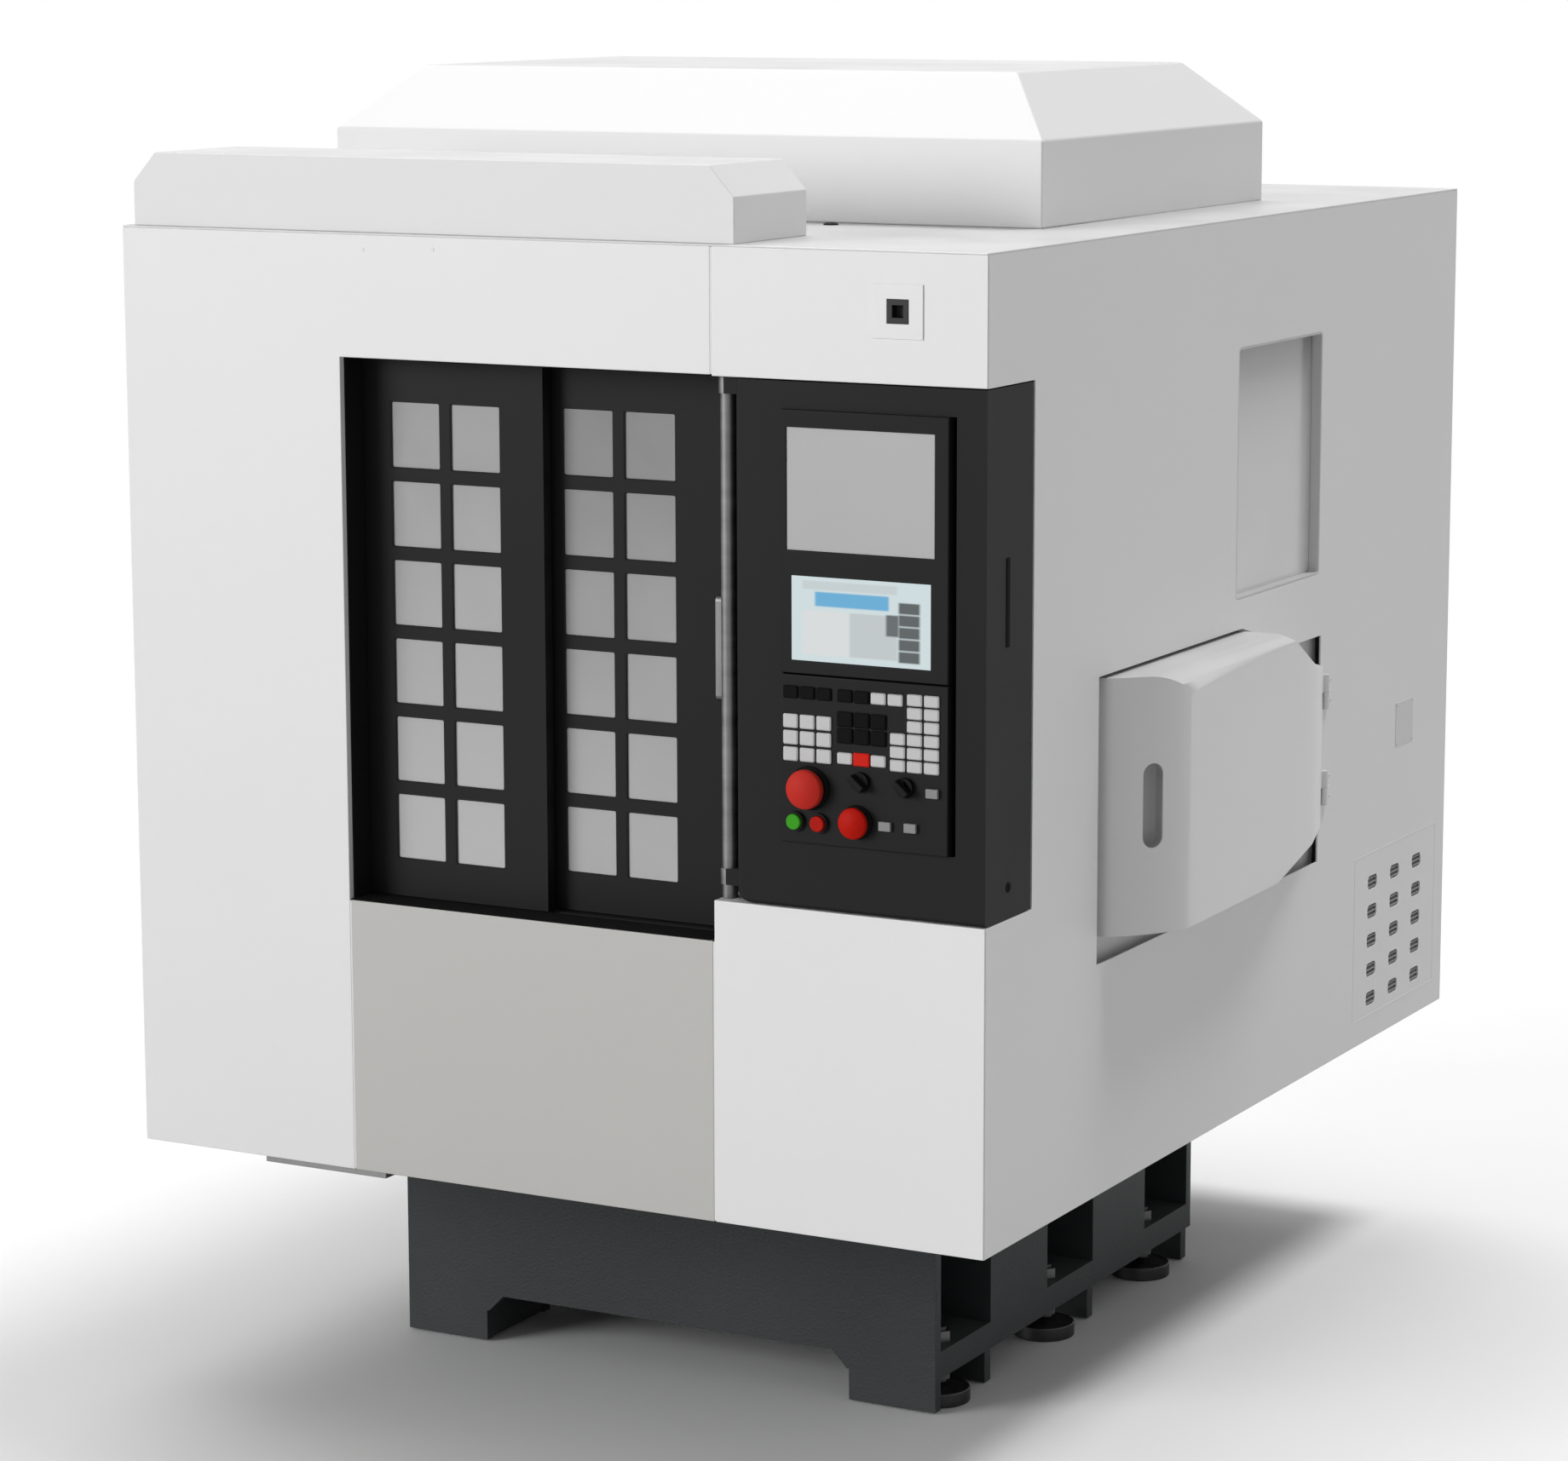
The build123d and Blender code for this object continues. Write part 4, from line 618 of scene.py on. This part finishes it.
# The cabinet's vents: fifteen cut slots, each with three pressed blades, a grey filter
# mat held behind them and a raised bead around the field.
slat, given = geometry_tree("slat", Size=(0.001, 0.04, 0.004), Turn=(0.0, 0.0, 0.0))
one_slat = put(slat, "GeometryNodeMeshCube", {"Size": given["Size"]}).outputs["Mesh"]
close_tree(slat, given, on_places(slat, given, one_slat, given["Turn"]))

filter_and_slot_shade_grey = moulded("grey filter mat", shade(158), 0.9, grain=260.0, relief=0.003, shine=0.1)
vent_columns = (0.622, 0.732, 0.842)
vent_rows = [0.466 + 0.053 * row for row in range(5)]
blade_x, blade_lifts = 0.7172, (-0.008, 0, 0.008)
blade_tilt = (0.0, math.radians(38), 0.0)
# The pressed blades take the filter's grey, not the sheet's white: painted shade that makes the slots
# look dark
grown(
    "vent_blades", slat,
    [(blade_x, y, z + lift) for y in vent_columns for z in vent_rows for lift in blade_lifts],
    "machine", "white_sheet", filter_and_slot_shade_grey, Size=(0.0052, 0.0438, 0.0012), Turn=blade_tilt,
)
mat = (0.7080, 0.7140, 0.590, 0.874, 0.440, 0.704)
bars("vent_filter", [mat], "machine", "white_sheet", filter_and_slot_shade_grey, 0.001)
bead_x, bead_y, bead_z, bead_width = (0.7197, 0.7203), (0.534, 0.938), (0.4365, 0.7305), 0.0025
bars(
    "vent_bead",
    [(*bead_x, *bead_y, bead_z[1], bead_z[1] + bead_width),
     (*bead_x, *bead_y, bead_z[0] - bead_width, bead_z[0]),
     (*bead_x, bead_y[0], bead_y[0] + bead_width, *bead_z),
     (*bead_x, bead_y[1] - bead_width, bead_y[1], *bead_z)],
    "machine", "white_sheet", white_coat,
)

# Small fixings of the sheets: button-head screws around the rear sheet and on the
# hinge leaves, two plugs over the doors, a rubber plug in the roof, and a bare plate
# with four rivets on the right side.
button_screw, given = geometry_tree("button screw", Radius=0.004, Rise=0.002, Turn=(0.0, 0.0, 0.0))
sockets = {"Vertices": 16, "Radius": given["Radius"]}
rim = put(button_screw, "GeometryNodeMeshCircle", sockets, fill_type="NGON").outputs["Mesh"]
half_rise = sum_of(button_screw, "MULTIPLY", given["Rise"], 0.5)
socket_depth = sum_of(button_screw, "MULTIPLY", given["Rise"], -0.5)


def drawn_up(tree, mesh, top, rise, scale):
    # The top face goes up by this much and shrinks
    sockets = {"Mesh": mesh, "Offset Scale": rise}
    if top is not None:
        sockets["Selection"] = top
    higher = put(tree, "GeometryNodeExtrudeMesh", sockets).outputs
    sockets = {"Geometry": higher["Mesh"], "Selection": higher["Top"], "Scale": scale}
    return put(tree, "GeometryNodeScaleElements", sockets).outputs[0], higher["Top"]


def with_base(tree, base, risen):
    # Closes what was drawn up from a flat base
    turned_base = put(tree, "GeometryNodeFlipFaces", {"Mesh": base}).outputs[0]
    whole = put(tree, "GeometryNodeJoinGeometry", {0: risen}).outputs[0]
    tree.links.new(turned_base, whole.node.inputs[0])
    return put(tree, "GeometryNodeMergeByDistance", {"Geometry": whole, "Distance": 1e-6}).outputs[0]


head, top = drawn_up(button_screw, rim, None, half_rise, 1.0)
head, top = drawn_up(button_screw, head, top, half_rise, 0.72)
head, top = drawn_up(button_screw, head, top, 0.0, 0.6)
head, top = drawn_up(button_screw, head, top, socket_depth, 0.95)
whole = with_base(button_screw, rim, head)
close_tree(button_screw, given, on_places(button_screw, given, whole, given["Turn"]))

quarter = math.pi / 2
to_front, to_right, to_back = (quarter, 0.0, 0.0), (0.0, quarter, 0.0), (-quarter, 0.0, 0.0)
screw_steel = machined(
    "plated screw steel", shade(160), 0.35, stretch=(90.0, 90.0, 90.0), relief=0.00003
)
plug_white = moulded("white plug", shade(205), 0.5)
plug_black = moulded("black rubber plug", shade(26), 0.6, shine=0.2)
plate_grey = moulded("pale plate", shade(216), 0.5)
rear_y, rear_x, rear_z = 0.9829, (-0.795, 0.705), (0.405, 1.872)
column_step, row_step, first_row = 0.300, 0.2873, 0.7073
edge_columns = [rear_x[0] + column_step * step for step in range(6)]
edge_rows = [first_row + row_step * step for step in range(4)]
around = [(x, rear_y, z) for x in edge_columns for z in rear_z]
around += [(x, rear_y, z) for x in rear_x for z in edge_rows]
grown("rear_screws", button_screw, around, "machine", "white_sheet", screw_steel,
      Radius=0.005, Rise=0.0028, Turn=to_back)
small_radius, small_rise = 0.0036, 0.0018
side_leaves = [(0.7279, 0.379, z) for z in (0.874, 0.910, 1.042, 1.078)]
rear_leaves = [(-0.625, 0.9909, z) for z in (0.622, 0.658, 1.562, 1.598)]
grown("side_leaf_screws", button_screw, side_leaves, "machine", "steel", white_coat,
      Radius=small_radius, Rise=small_rise, Turn=to_right)
grown("rear_leaf_screws", button_screw, rear_leaves, "machine", "steel", screw_steel,
      Radius=small_radius, Rise=small_rise, Turn=to_back)
over_doors = [(-0.354, -0.9669, 1.864), (-0.226, -0.9669, 1.868)]
behind_hood = [(0.205, -0.472, 1.8899)]
grown("front_plugs", button_screw, over_doors, "machine", "white_sheet", white_coat,
      Radius=small_radius, Rise=0.0008, Turn=to_front)
grown("roof_plug", button_screw, behind_hood, "machine", "white_sheet", plug_black,
      Radius=0.012, Rise=0.004)
plate = (0.7199, 0.7207, 0.722, 0.808, 0.905, 0.985)
plate_corners = [(0.7206, y, z) for y in (0.727, 0.803) for z in (0.910, 0.980)]
bars("bare_plate", [plate], "machine", "white_sheet", plate_grey)
grown("plate_rivets", button_screw, plate_corners, "machine", "white_sheet", plug_white,
      Radius=0.0016, Rise=0.0008, Turn=to_right)

# The rear of the box: the tray-shaped door of the electrical cabinet with two sunk
# quarter-turn locks, and the moulded gland of the supply cable with its ribbed nut.
rear_door = merged("rear_cabinet_door")
lock_x, lock_heights = 0.465, (0.900, 1.380)
sink_y, sink_radius, sink_length = 1.0040, 0.0135, 0.0030
work = bmesh.new()
for z in lock_heights:
    sink = Matrix.Translation((lock_x, sink_y, z)) @ Matrix.Rotation(quarter, 4, "X")
    bmesh.ops.create_cone(
        work, cap_ends=True, segments=32, radius1=sink_radius, radius2=sink_radius,
        depth=sink_length, matrix=sink,
    )
lock_sinks = show_work("lock_sinks", work)
cut = rear_door.modifiers.new("lock sinks", "BOOLEAN")
cut.object = lock_sinks
settled(rear_door)
bpy.data.objects.remove(lock_sinks)
stand_for("rear_cabinet_door", rear_door, white_coat, 0.0012)
grown("rear_locks", button_screw, [(lock_x, 1.0024, z) for z in lock_heights],
      "rear_door", "white_sheet", plug_black, Radius=0.0128, Rise=0.0022, Turn=to_back)

ring_ribs, given = geometry_tree(
    "ring of ribs", Radius=0.022, Count=24.0, Size=(0.002, 0.001, 0.014), Turn=(0.0, 0.0, 0.0)
)
sockets = {"Vertices": given["Count"], "Radius": given["Radius"]}
ring = put(ring_ribs, "GeometryNodeMeshCircle", sockets).outputs["Mesh"]
sockets = {"Vector": put(ring_ribs, "GeometryNodeInputPosition").outputs[0]}
facing_out = put(ring_ribs, "FunctionNodeAlignRotationToVector", sockets, axis="X").outputs[0]
rib = put(ring_ribs, "GeometryNodeMeshCube", {"Size": given["Size"]}).outputs["Mesh"]
sockets = {"Points": ring, "Instance": rib, "Rotation": facing_out}
ribs = put(ring_ribs, "GeometryNodeInstanceOnPoints", sockets).outputs[0]
close_tree(ring_ribs, given, on_places(ring_ribs, given, ribs, given["Turn"]))
gland_black = moulded("gland nylon", shade(30), 0.55, shine=0.3)
finished(gland_black, 0.001, "cable_gland")
grown("gland_ribs", ring_ribs, [(0.600, 0.991, 0.450)], "machine", "gland_plastic", gland_black,
      Radius=0.0219, Count=28, Size=(0.0022, 0.0018, 0.014), Turn=to_back)

# The roof hoods: folded and welded caps of white coated sheet, the front one over
# the door drive and the tall one over the heads.
# Their tops are darkened with the same painted shade as the roof
finished(top_shaded_roof_coat, 0.003, "front_hood", "top_hood")

# The sliding doors: folded dark sheets with two columns of windows, one clear sheet
# behind each, a black bead around every window, and a bowed pull of brushed steel.
finished(dark_coat, 0.0012, "trailing_door_frame", "leading_door_frame")
pane_low, pane_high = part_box("leading_door_pane")
# Both door panes darken towards their tops in painted reflection, and the leading pane is a darker copy
# of the same glass, in painted shade
trailing_glass = pane_with_painted_shade("trailing door pane", shade(196), shade(156), pane_low.z, pane_high.z)
leading_glass = pane_with_painted_shade("leading door pane", shade(188), shade(134), pane_low.z, pane_high.z)
finished(trailing_glass, 0.0005, "trailing_door_pane")
finished(leading_glass, 0.0005, "leading_door_pane")
brushed = machined(
    "brushed steel", shade(104), 0.42, stretch=(500.0, 500.0, 12.0), relief=0.00006
)
finished(brushed, 0.002, "door_handle")


def rounded_outline(tree, given):
    # A rectangle with rounded corners
    sockets = {"Width": given["Width"], "Height": given["Height"]}
    outline = put(tree, "GeometryNodeCurvePrimitiveQuadrilateral", sockets).outputs[0]
    sockets = {"Curve": outline, "Radius": given["Corner"], "Count": 3}
    return put(tree, "GeometryNodeFilletCurve", sockets, mode="POLY").outputs[0]


window_bead, given = geometry_tree(
    "window bead", Width=0.09, Height=0.105, Corner=0.004, Thickness=0.0016, Turn=(0.0, 0.0, 0.0)
)
sockets = {"Resolution": 6, "Radius": given["Thickness"]}
section = put(window_bead, "GeometryNodeCurvePrimitiveCircle", sockets).outputs[0]
sockets = {"Curve": rounded_outline(window_bead, given), "Profile Curve": section}
bead = put(window_bead, "GeometryNodeCurveToMesh", sockets).outputs[0]
close_tree(window_bead, given, on_places(window_bead, given, bead, given["Turn"]))
bead_black = moulded("black window bead", shade(18), 0.6, shine=0.2)
half_pitch, window_rows = 0.055, [0.947 + 0.125 * row for row in range(6)]
for body, middle, y in (("trailing_door", -0.2465, -0.9052), ("leading_door", 0.0490, -0.8752)):
    places = [(middle + side * half_pitch, y, z) for side in (-1, 1) for z in window_rows]
    grown(body + "_beads", window_bead, places, body, "frame_rubber", bead_black,
          Width=0.0905, Height=0.1055, Turn=to_front)

# The control pendant: a dark folded housing that swings on a ground steel post with
# two bright knuckles. Its side has a key lock and a covered wiring slot.
post_steel = machined(
    "ground post steel", shade(112), 0.5, stretch=(6.0, 6.0, 60.0), relief=0.000005
)
finished(post_steel, 0.0008, "hinge_post")
finished(dark_coat, 0.001, "pendant_housing")
post_low, post_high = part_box("hinge_post")
post_line = Vector(((post_low.x + post_high.x) / 2, (post_low.y + post_high.y) / 2))
housing = bpy.data.objects["pendant_housing_finished"]
housing.data.materials.append(post_steel)
knuckle_reach = 0.0148
for face in housing.data.polygons:
    if (face.center.xy - post_line).length < knuckle_reach:
        face.material_index = 1
lock_black = moulded("black lock barrel", shade(5), 0.6, shine=0.04)
finished(lock_black, 0.0008, "pendant_lock")
# The keyway is a black bar on the barrel's face: painted shade standing for the slot
keyway = (0.7208, 0.7214, -0.8887, -0.8873, 0.9412, 0.9488)
slot_cover = (0.7199, 0.7210, -0.9000, -0.8890, 1.307, 1.440)
bars("keyway_shade_bar", [keyway], "control_pendant", "knob_black", lock_black, 0.0002)
bars("wiring_slot_cover", [slot_cover], "control_pendant", "dark_sheet", lock_black)

# The screen module and the key module: thick moulded bezels. The upper screen is
# off, the lower one shows the machine's start page without any words.
bezel = moulded("bezel plastic", shade(20), 0.5, shine=0.12)
finished(bezel, 0.0008, "screen_module", "key_module")
screen_grey = moulded("grey screen glass", shade(180), 0.2, relief=0.0)
finished(screen_grey, 0.0004, "upper_screen")


def page_finish(low, high, ground, areas):
    # A lit page: coloured areas, each from x, to x, from z, to z in shares of the screen
    material, tree, shader = new_finish("lit screen page", 0.2)
    edge, page_light = 0.01, 0.92
    spread = put(tree, "ShaderNodeSeparateXYZ", {0: here(tree)}).outputs
    across = remap(tree, spread["X"], low.x, high.x)
    up = remap(tree, spread["Z"], low.z, high.z)
    page = ground
    for x0, x1, z0, z1, colour in areas:
        inside = 1.0
        for along, start, end in ((across, x0, x1), (up, z0, z1)):
            past_start = remap(tree, along, start - edge, start + edge)
            before_end = remap(tree, along, end + edge, end - edge)
            inside = sum_of(tree, "MULTIPLY", inside, past_start)
            inside = sum_of(tree, "MULTIPLY", inside, before_end)
        page = blend(tree, inside, page, colour)
    shader.inputs["Base Color"].default_value = shade(40)
    tree.links.new(page, shader.inputs["Emission Color"])
    shader.inputs["Emission Strength"].default_value = page_light
    return material


page_low, page_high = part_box("lower_screen")
page_ground = shade(205, 219, 222)
page_areas = [
    (0.08, 0.42, 0.08, 0.60, shade(214, 218, 218)), (0.42, 0.76, 0.08, 0.60, shade(190, 197, 198)),
    (0.17, 0.70, 0.655, 0.825, shade(88, 168, 212)), (0.08, 0.76, 0.85, 0.95, shade(194, 204, 206)),
    (0.68, 0.77, 0.36, 0.61, shade(84, 91, 94)),
]
soft_key_step, soft_key_tone = 0.143, shade(72, 79, 81)
for key in range(5):
    lift = soft_key_step * key
    page_areas.append((0.77, 0.92, 0.06 + lift, 0.190 + lift, soft_key_tone))
screen_page = page_finish(page_low, page_high, page_ground, page_areas)
finished(screen_page, 0.0004, "lower_screen")

# The keys: moulded caps pressed on the key module's plungers, pale for entry, black
# for the axes and the functions, and one red.
key_cap, given = geometry_tree(
    "key cap", Width=0.0212, Height=0.0162, Rise=0.0034, Corner=0.0024, Turn=(0.0, 0.0, 0.0)
)
sockets = {"Curve": rounded_outline(key_cap, given)}
base = put(key_cap, "GeometryNodeFillCurve", sockets, mode="NGONS").outputs[0]
skirt_rise = sum_of(key_cap, "MULTIPLY", given["Rise"], 0.65)
crown_rise = sum_of(key_cap, "MULTIPLY", given["Rise"], 0.35)
cap, top = drawn_up(key_cap, base, None, skirt_rise, 1.0)
cap, top = drawn_up(key_cap, cap, top, crown_rise, 0.84)
whole = with_base(key_cap, base, cap)
close_tree(key_cap, given, on_places(key_cap, given, whole, given["Turn"]))

key_face, key_step, entry_step, side_step = -0.9749, 0.028, 0.025, 0.020
entry_row, top_row, side_row = 1.135, 1.229, 1.131
entry_columns = [0.401 + key_step * i for i in range(3)]
axis_columns = [0.492 + key_step * i for i in range(3)]
numbers = [(x, entry_row + entry_step * j) for x in entry_columns for j in range(3)]
side_keys = [(x, side_row + side_step * j) for x in (0.608, 0.636) for j in range(6)]
edge_keys = [(0.580, side_row + side_step * j) for j in range(3)]
axis_keys = [(x, z) for x in axis_columns for z in (1.169, 1.194)]
top_keys = [(x, top_row) for x in entry_columns + axis_columns[:2]]
pale_keys = side_keys + edge_keys
pale_keys += [(0.492, entry_row), (0.548, entry_row), (0.548, top_row), (0.576, top_row)]
key_white = moulded("pale key plastic", shade(192), 0.5)
key_black = moulded("black key plastic", shade(4), 0.6, shine=0.06)
key_red = moulded("red key plastic", shade(206, 30, 16), 0.5, shine=0.1)
for name, places, slot, finish, width, height in (
    ("number_key_caps", numbers, "lamp", key_white, 0.0245, 0.0210),
    ("pale_key_caps", pale_keys, "lamp", key_white, 0.0245, 0.0174),
    ("black_key_caps", axis_keys, "knob_black", key_black, 0.0258, 0.0230),
    ("function_key_caps", top_keys, "knob_black", key_black, 0.0245, 0.0190),
    ("red_key_cap", [(0.520, entry_row)], "red_cap", key_red, 0.0270, 0.0200),
):
    grown(name, key_cap, [(x, key_face, z) for x, z in places], "control_pendant", slot, finish,
          Width=width, Height=height, Turn=to_front)


# Buttons, knobs and lamps: smooth moulded caps on the key module. A black shroud
# rings the stem of each mushroom button.
def turned_ring(name, x, z, section, body, slot, finish, steps=48):
    # A ring turned about a line along Y, from its section's radii and places in Y
    work = bmesh.new()
    rings = []
    for step in range(steps):
        angle = 2 * math.pi * step / steps
        rings.append([
            work.verts.new((x + radius * math.cos(angle), y, z + radius * math.sin(angle)))
            for radius, y in section
        ])
    for one, other in zip(rings, rings[1:] + rings[:1]):
        for i in range(len(section)):
            j = (i + 1) % len(section)
            work.faces.new((one[i], one[j], other[j], other[i]))
    bmesh.ops.recalc_face_normals(work, faces=work.faces)
    return keep(eased_edges(show_work(name, work), 0.0004), body, slot, finish)


shroud_top, shroud_rim, stem_hole = -0.9812, -0.9775, 0.0172
for name, x, z, crown, foot in (
    ("stop_shroud", 0.432, 1.085, 0.0270, 0.0335), ("hold_shroud", 0.512, 1.040, 0.0215, 0.0260),
):
    section = [
        (stem_hole, key_face), (stem_hole, shroud_top), (crown, shroud_top), (foot, shroud_rim),
        (foot, key_face),
    ]
    turned_ring(name, x, z, section, "control_pendant", "knob_black", key_black)
red_cap = moulded("red mushroom cap", shade(190, 46, 38), 0.55, shine=0.08)
hold_red = moulded("hold cap red", shade(180, 22, 8), 0.55, shine=0.08)
green_cap = moulded("green cap", shade(60, 156, 34), 0.55, shine=0.08)
stop_red = moulded("stop cap red", shade(174, 22, 12), 0.55, shine=0.08)
knob_black = moulded("black knob", shade(6), 0.5, shine=0.12)
lamp_grey = moulded("frosted lamp", shade(126), 0.5)
finished(red_cap, 0.0008, "emergency_stop_button")
finished(hold_red, 0.0008, "hold_button")
finished(green_cap, 0.0005, "start_button")
finished(stop_red, 0.0005, "stop_button")
finished(lamp_grey, 0.001, "indicator_lamps")
rib_y, pointer_turn = -0.9786, Matrix.Rotation(math.radians(-50), 4, "Y")
for name, x, z in (("feed_knob", 0.518, 1.101), ("speed_knob", 0.592, 1.099)):
    knob = merged(name)
    middle = Matrix.Translation((x, 0.0, z))
    knob.data.transform(middle @ pointer_turn @ middle.inverted())
    stand_for(name, knob, knob_black, 0.0006)
    grown(name + "_ribs", ring_ribs, [(x, rib_y, z)], solids[name]["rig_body"], "knob_black",
          knob_black, Radius=0.0148, Count=30, Size=(0.0012, 0.0014, 0.0052), Turn=to_front)

# The work zone: cast bridge and saddle, ground rails with capped bolts, the table
# and the two heads.
steel = machined("ground steel", shade(178), 0.34, stretch=(30.0, 30.0, 700.0), relief=0.00006)
table_iron = machined(
    "ground table iron", shade(150), 0.36, stretch=(400.0, 12.0, 60.0), relief=0.00006
)
track = machined(
    "magnet track cover", shade(186), 0.3, stretch=(12.0, 300.0, 60.0), relief=0.00003
)
finished(cast_paint, 0.004, "bridge_casting", "beam_saddle")
finished(cast_paint, 0.003, "left_head", "right_head")
finished(steel, 0.0008, "linear_rails", "head_rails")
finished(track, 0.0008, "drive_tracks")
finished(table_iron, 0.0015, "work_table")
finished(
    steel, 0.001, "left_spindle_housing", "right_spindle_housing", "left_spindle", "right_spindle"
)
bolt_step = 0.060
bed_rails, bed_rail_top = (-0.255, 0.165), 0.7239
beam_rails, beam_rail_face = (1.180, 1.340), -0.0999
bed_bolts = [(x, -0.550 + bolt_step * i, bed_rail_top) for x in bed_rails for i in range(17)]
beam_bolts = [(-0.515 + bolt_step * i, beam_rail_face, z) for z in beam_rails for i in range(16)]
grown("bed_rail_caps", button_screw, bed_bolts, "machine", "steel", blackened,
      Radius=0.006, Rise=0.0004)
grown("beam_rail_caps", button_screw, beam_bolts, "machine", "steel", blackened,
      Radius=0.0055, Rise=0.0004, Turn=to_front)

# The electrical cabinet: its drive units stand on the white plate behind the base,
# with cooling fins on their faces, between two slotted wiring ducts.
drive_grey = painted(
    "drive housing grey", shade(142, 144, 146), patch=0.03, grain=500.0, relief=0.00005,
    roughness=0.5, bare=shade(180), rub=0.1, dust=0.06,
)
finished(drive_grey, 0.003, "drive_units")
first_fins, fin_step = (-0.440, -0.210, 0.020, 0.250), 0.010
fin_places = [(x + fin_step * i, 0.6985, 1.140) for x in first_fins for i in range(11)]
grown("drive_fins", slat, fin_places, "machine", "drive_grey", drive_grey,
      Size=(0.002, 0.0060, 0.300))
duct_grey = moulded("duct plastic", shade(168), 0.6)
duct_heights, half_lid, half_duct = (0.900, 1.390), 0.0265, 0.025
bars("duct_lids", [(-0.560, 0.470, 0.5535, 0.5565, z - half_lid, z + half_lid) for z in duct_heights],
     "machine", "drive_grey", duct_grey, 0.0008)
duct_sides = [z + side for z in duct_heights for side in (-half_duct, half_duct)]
comb_start, comb_step = -0.554, 0.012
comb = [(comb_start + comb_step * i, 0.530, z) for z in duct_sides for i in range(86)]
grown("duct_combs", slat, comb, "machine", "drive_grey", duct_grey, Size=(0.0075, 0.048, 0.0016))

# The studio. A pale floor, a broad soft lamp low in front on the left and two high
# ones behind under an even sky. What the camera sees past the floor is white.


def lamp(name, towards, strength, spread):
    # A broad, soft lamp that shines from this direction
    light = bpy.data.lights.new(name, "SUN")
    light.energy = strength * math.pi
    light.angle = math.radians(spread)
    holder = bpy.data.objects.new(name, light)
    bpy.context.scene.collection.objects.link(holder)
    holder.rotation_euler = Vector(towards).to_track_quat("Z", "Y").to_euler()


def seen_rays(tree):
    # One where the picture shows a thing: straight, in a gloss, or through a clear sheet
    rays = put(tree, "ShaderNodeLightPath").outputs
    straight = sum_of(tree, "MAXIMUM", rays["Is Camera Ray"], rays["Is Transmission Ray"])
    return sum_of(tree, "MAXIMUM", straight, rays["Is Glossy Ray"])


lamp("key_lamp", (-0.62, -0.75, 0.21), 0.66, 30)
lamp("left_high_lamp", (-0.35, 0.38, 0.86), 0.36, 40)
lamp("right_high_lamp", (0.23, 0.33, 0.92), 0.52, 18)

sky = bpy.data.worlds.new("sky")
bpy.context.scene.world = sky
sky.use_nodes = True
tree = sky.node_tree
backdrop = tree.nodes["Background"].inputs
white, sky_level = (1.0, 1.0, 1.0, 1.0), 0.32
backdrop["Color"].default_value = white
tree.links.new(remap(tree, seen_rays(tree), 0.0, 1.0, sky_level, 1.0), backdrop["Strength"])

floor_radius = 40.0
work = bmesh.new()
bmesh.ops.create_circle(work, cap_ends=True, segments=96, radius=floor_radius)
floor = show_work("floor", work)
floor_finish, tree, shader = new_finish("pale studio floor", 0.7)
shader.inputs["Specular IOR Level"].default_value = 0.2
place = here(tree)
seen = seen_rays(tree)
# The floor is darker to the light that it throws back on the machine
pale = blend(tree, noise(tree, place, 2.0, 4.0), shade(228), shade(233))
tree.links.new(blend(tree, seen, shade(160), pale), shader.inputs["Base Color"])
away = put(tree, "ShaderNodeVectorMath", {0: place}, operation="LENGTH").outputs["Value"]
fade_start, fade_end = 1.2, 4.5
share = sum_of(tree, "MULTIPLY", remap(tree, away, fade_start, fade_end), seen)
glow = put(tree, "ShaderNodeEmission", {"Color": white, "Strength": 1.0}).outputs[0]
both = put(tree, "ShaderNodeMixShader", {0: share, 1: shader.outputs[0], 2: glow}).outputs[0]
tree.links.new(both, tree.nodes["Material Output"].inputs["Surface"])
floor.data.materials.append(floor_finish)

# The camera, at the height and the angle of the photograph, and with its long lens.
# It was solved from the straight edges of the sheets.
azimuth, elevation, roll = (math.radians(d) for d in (28.2771, 9.7512, -0.14887))
back = Vector(
    (math.sin(azimuth) * math.cos(elevation), -math.cos(azimuth) * math.cos(elevation),
     math.sin(elevation))
)
right = (-back).cross(Vector((0, 0, 1))).normalized()
up = right.cross(-back)
across = right * math.cos(roll) + up * math.sin(roll)
over = up * math.cos(roll) - right * math.sin(roll)
lens = bpy.data.cameras.new("camera")
lens.sensor_fit = "HORIZONTAL"
lens.sensor_width = 36.0
lens.lens = 105.319
lens.clip_end = 200.0
camera = bpy.data.objects.new("camera", lens)
bpy.context.scene.collection.objects.link(camera)
turned = Matrix((across, over, back)).transposed().to_4x4()
eye = Matrix.Translation((3.59274, -6.93092, 2.33105))
camera.matrix_world = eye @ turned
bpy.context.scene.camera = camera
bpy.context.scene.view_settings.view_transform = "Standard"
